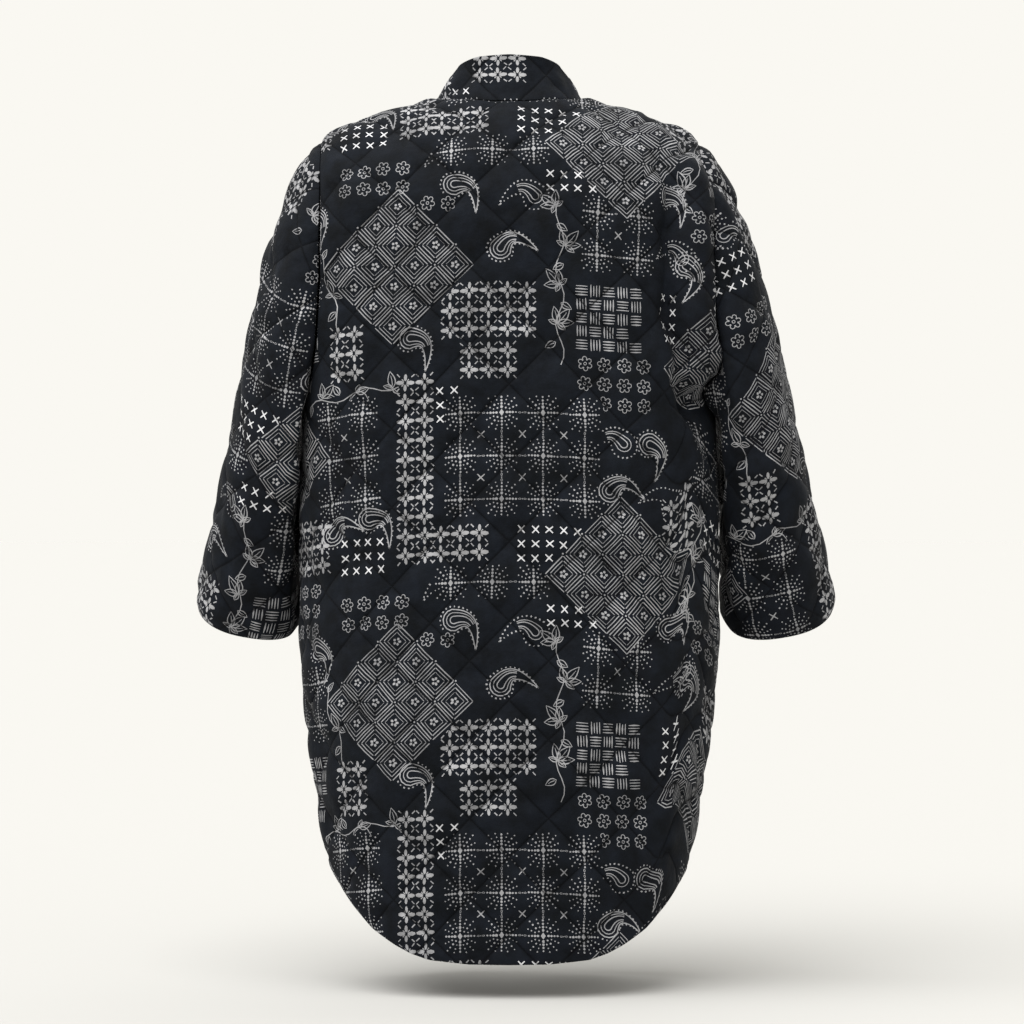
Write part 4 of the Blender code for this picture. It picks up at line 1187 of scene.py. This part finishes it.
def cotton(name, dark, light, roughness, sheen, quilted=True):
    """Brushed plain-weave cotton: matt, uneven in tone, a little sheen at the turn, fine threads, and where
    it is quilted, dark stitches along the quilt lines with painted shade in their sunk grooves."""
    material = bpy.data.materials.new(name)
    material.use_nodes = True
    tree = material.node_tree
    shader = tree.nodes["Principled BSDF"]
    place = node(tree, "ShaderNodeTexCoord").outputs["Object"]
    cloud = node(tree, "ShaderNodeTexNoise",
                 inputs={"Vector": place, "Scale": CLOUDS, "Detail": 6.0, "Roughness": 0.62})
    ramp = node(tree, "ShaderNodeValToRGB", inputs={"Fac": cloud.outputs["Fac"]})
    ramp.color_ramp.elements[0].position = 0.32
    ramp.color_ramp.elements[0].color = colour(dark)
    ramp.color_ramp.elements[1].position = 0.68
    ramp.color_ramp.elements[1].color = colour(light)
    grain = node(tree, "ShaderNodeTexNoise", inputs={"Vector": place, "Scale": GRAINS, "Detail": 2.0})
    pucker = node(tree, "ShaderNodeTexNoise",
                  inputs={"Vector": place, "Scale": PUCKERS, "Detail": 4.0, "Roughness": 0.55})
    known = {"pucker": pucker.outputs["Fac"]}
    if quilted:
        quilt = node(tree, "ShaderNodeUVMap", {"uv_map": "quilt"}).outputs["UV"]
        split = node(tree, "ShaderNodeSeparateXYZ", inputs={"Vector": quilt})
        known.update(u=split.outputs["X"], v=split.outputs["Y"])
    for result, operation, *terms in PUCKER_SUMS + (QUILT_SUMS if quilted else []):
        inputs = {k: known.get(term, term) for k, term in enumerate(terms)}
        known[result] = node(tree, "ShaderNodeMath", {"operation": operation}, inputs).outputs[0]
    tone = ramp.outputs["Color"]
    if quilted:
        # Inputs of the mix: its share, the cloth's tone, and a near black that is painted shade in the
        # grooves and the dark thread of the stitches.
        mixed = node(tree, "ShaderNodeMix", {"data_type": "RGBA"},
                     {0: known["shade"], 6: tone, 7: colour("#050609")})
        tone = mixed.outputs[2]
    tree.links.new(tone, shader.inputs["Base Color"])
    low = node(tree, "ShaderNodeBump", inputs={"Strength": 0.6, "Distance": 0.001, "Height": known["rise"]})
    fine = node(tree, "ShaderNodeBump", inputs={
        "Strength": 0.3, "Distance": 0.0004, "Height": grain.outputs["Fac"], "Normal": low.outputs["Normal"]})
    tree.links.new(fine.outputs["Normal"], shader.inputs["Normal"])
    shader.inputs["Roughness"].default_value = roughness
    shader.inputs["Sheen Weight"].default_value = sheen
    shader.inputs["Sheen Roughness"].default_value = 0.5
    shader.inputs["Specular IOR Level"].default_value = 0.09
    return material


def coat():
    """All panels of the coat."""
    materials = [
        # Plain-weave cotton dyed a navy near black: matt and dark, lighter in clouds where the dye took less.
        cotton("dyed cotton", "#07090c", "#12161d", 0.8, 0.01),
        # Pigment printed thin on the weave: chalky grey, darker where the cloth shows through.
        cotton("grey print on cotton", "#68686a", "#a4a4a6", 0.85, 0.01),
        # The same pigment laid thicker: an off-white that catches the eye first.
        cotton("white print on cotton", "#a6a6a8", "#d4d4d6", 0.85, 0.01),
        # Unprinted cotton inside: flat and dark, with no stitches.
        cotton("plain cotton inside", "#0b0d11", "#14171d", 0.88, 0.01, quilted=False),
    ]
    back, front = body_cloth(1), body_cloth(-1)
    artwork = patchwork()
    wall("back", back, body_outline(back, "back"), artwork, materials)
    wall("front_left", front, body_outline(front, "front_left"), artwork, materials)
    wall("front_right", front, body_outline(front, "front_right"), artwork, materials)
    for name, (side, cuff_x, cuff_half) in SLEEVES.items():
        cloth = sleeve_cloth(side, cuff_x, cuff_half, back, front)
        wall(name, cloth, sleeve_outline(cloth), artwork, materials)
    cloth = collar_cloth(neck_points(back, front))
    wall("collar", cloth, collar_outline(cloth), artwork, materials)


# Camera, as in the photo, metres, and its sensor's width, mm.
CAMERA_AWAY = 4.0
CAMERA_HEIGHT = -0.450
CAMERA_SIDE = -0.003
FRAME_WIDTH = 1.126
SENSOR = 36.0
# Floor: level and reach, metres. Room: the warm white of the backdrop.
FLOOR = -0.970
FLOOR_REACH = 60.0
ROOM = "#faf8f2"
# Width of both suns in the sky, degrees: broad, so that shadows are soft.
SUN_WIDTH = 60.0
# Suns: name, power, height above the floor and way round from the back's side, degrees.
SUNS = [("key", 4.4, 62.0, 40.0), ("front fill", 0.5, 50.0, 200.0)]


def camera():
    """The photo's view: level and square to the back, its frame as wide as the photo's in metres."""
    lens = bpy.data.cameras.new("camera")
    lens.sensor_width = SENSOR
    lens.lens = SENSOR * CAMERA_AWAY / FRAME_WIDTH
    lens.clip_end = 100.0
    view = bpy.data.objects.new("camera", lens)
    view.location = (CAMERA_SIDE, CAMERA_AWAY, CAMERA_HEIGHT)
    view.rotation_euler = (math.radians(90), 0, math.radians(180))
    bpy.context.scene.collection.objects.link(view)
    bpy.context.scene.camera = view


def studio():
    """A white room: even light from all round, which is also the backdrop, pale paper and two broad suns."""
    turn = np.linspace(0, 2 * math.pi, 64, endpoint=False)
    corners = np.stack([FLOOR_REACH * np.cos(turn), FLOOR_REACH * np.sin(turn), np.full(64, FLOOR)], axis=1)
    mesh = bpy.data.meshes.new("studio floor")
    mesh.from_pydata(corners.tolist(), [], [list(range(64))])
    floor = bpy.data.objects.new("studio floor", mesh)
    bpy.context.scene.collection.objects.link(floor)
    paper = bpy.data.materials.new("matt studio paper")
    paper.use_nodes = True
    shader = paper.node_tree.nodes["Principled BSDF"]
    room_light = colour(ROOM)
    sun_light = sum(power * math.sin(math.radians(height)) / math.pi for _, power, height, _ in SUNS)
    # The floor returns just as much light as the room gives, so that no horizon shows.
    shader.inputs["Base Color"].default_value = [c / (c + sun_light) for c in room_light[:3]] + [1.0]
    shader.inputs["Roughness"].default_value = 1.0
    shader.inputs["Specular IOR Level"].default_value = 0.0
    mesh.materials.append(paper)
    world = bpy.context.scene.world or bpy.data.worlds.new("room")
    bpy.context.scene.world = world
    world.use_nodes = True
    world.node_tree.nodes["Background"].inputs["Color"].default_value = room_light
    world.node_tree.nodes["Background"].inputs["Strength"].default_value = 1.0
    for name, power, height, way in SUNS:
        lamp = bpy.data.lights.new(name, "SUN")
        lamp.energy = power
        lamp.angle = math.radians(SUN_WIDTH)
        lit = bpy.data.objects.new(name, lamp)
        flat = math.cos(math.radians(height))
        toward = Vector((-flat * math.sin(math.radians(way)), -flat * math.cos(math.radians(way)),
                         -math.sin(math.radians(height))))
        lit.rotation_euler = toward.to_track_quat("-Z", "Y").to_euler()
        bpy.context.scene.collection.objects.link(lit)
    bpy.context.scene.view_settings.view_transform = "Standard"


coat()
camera()
studio()
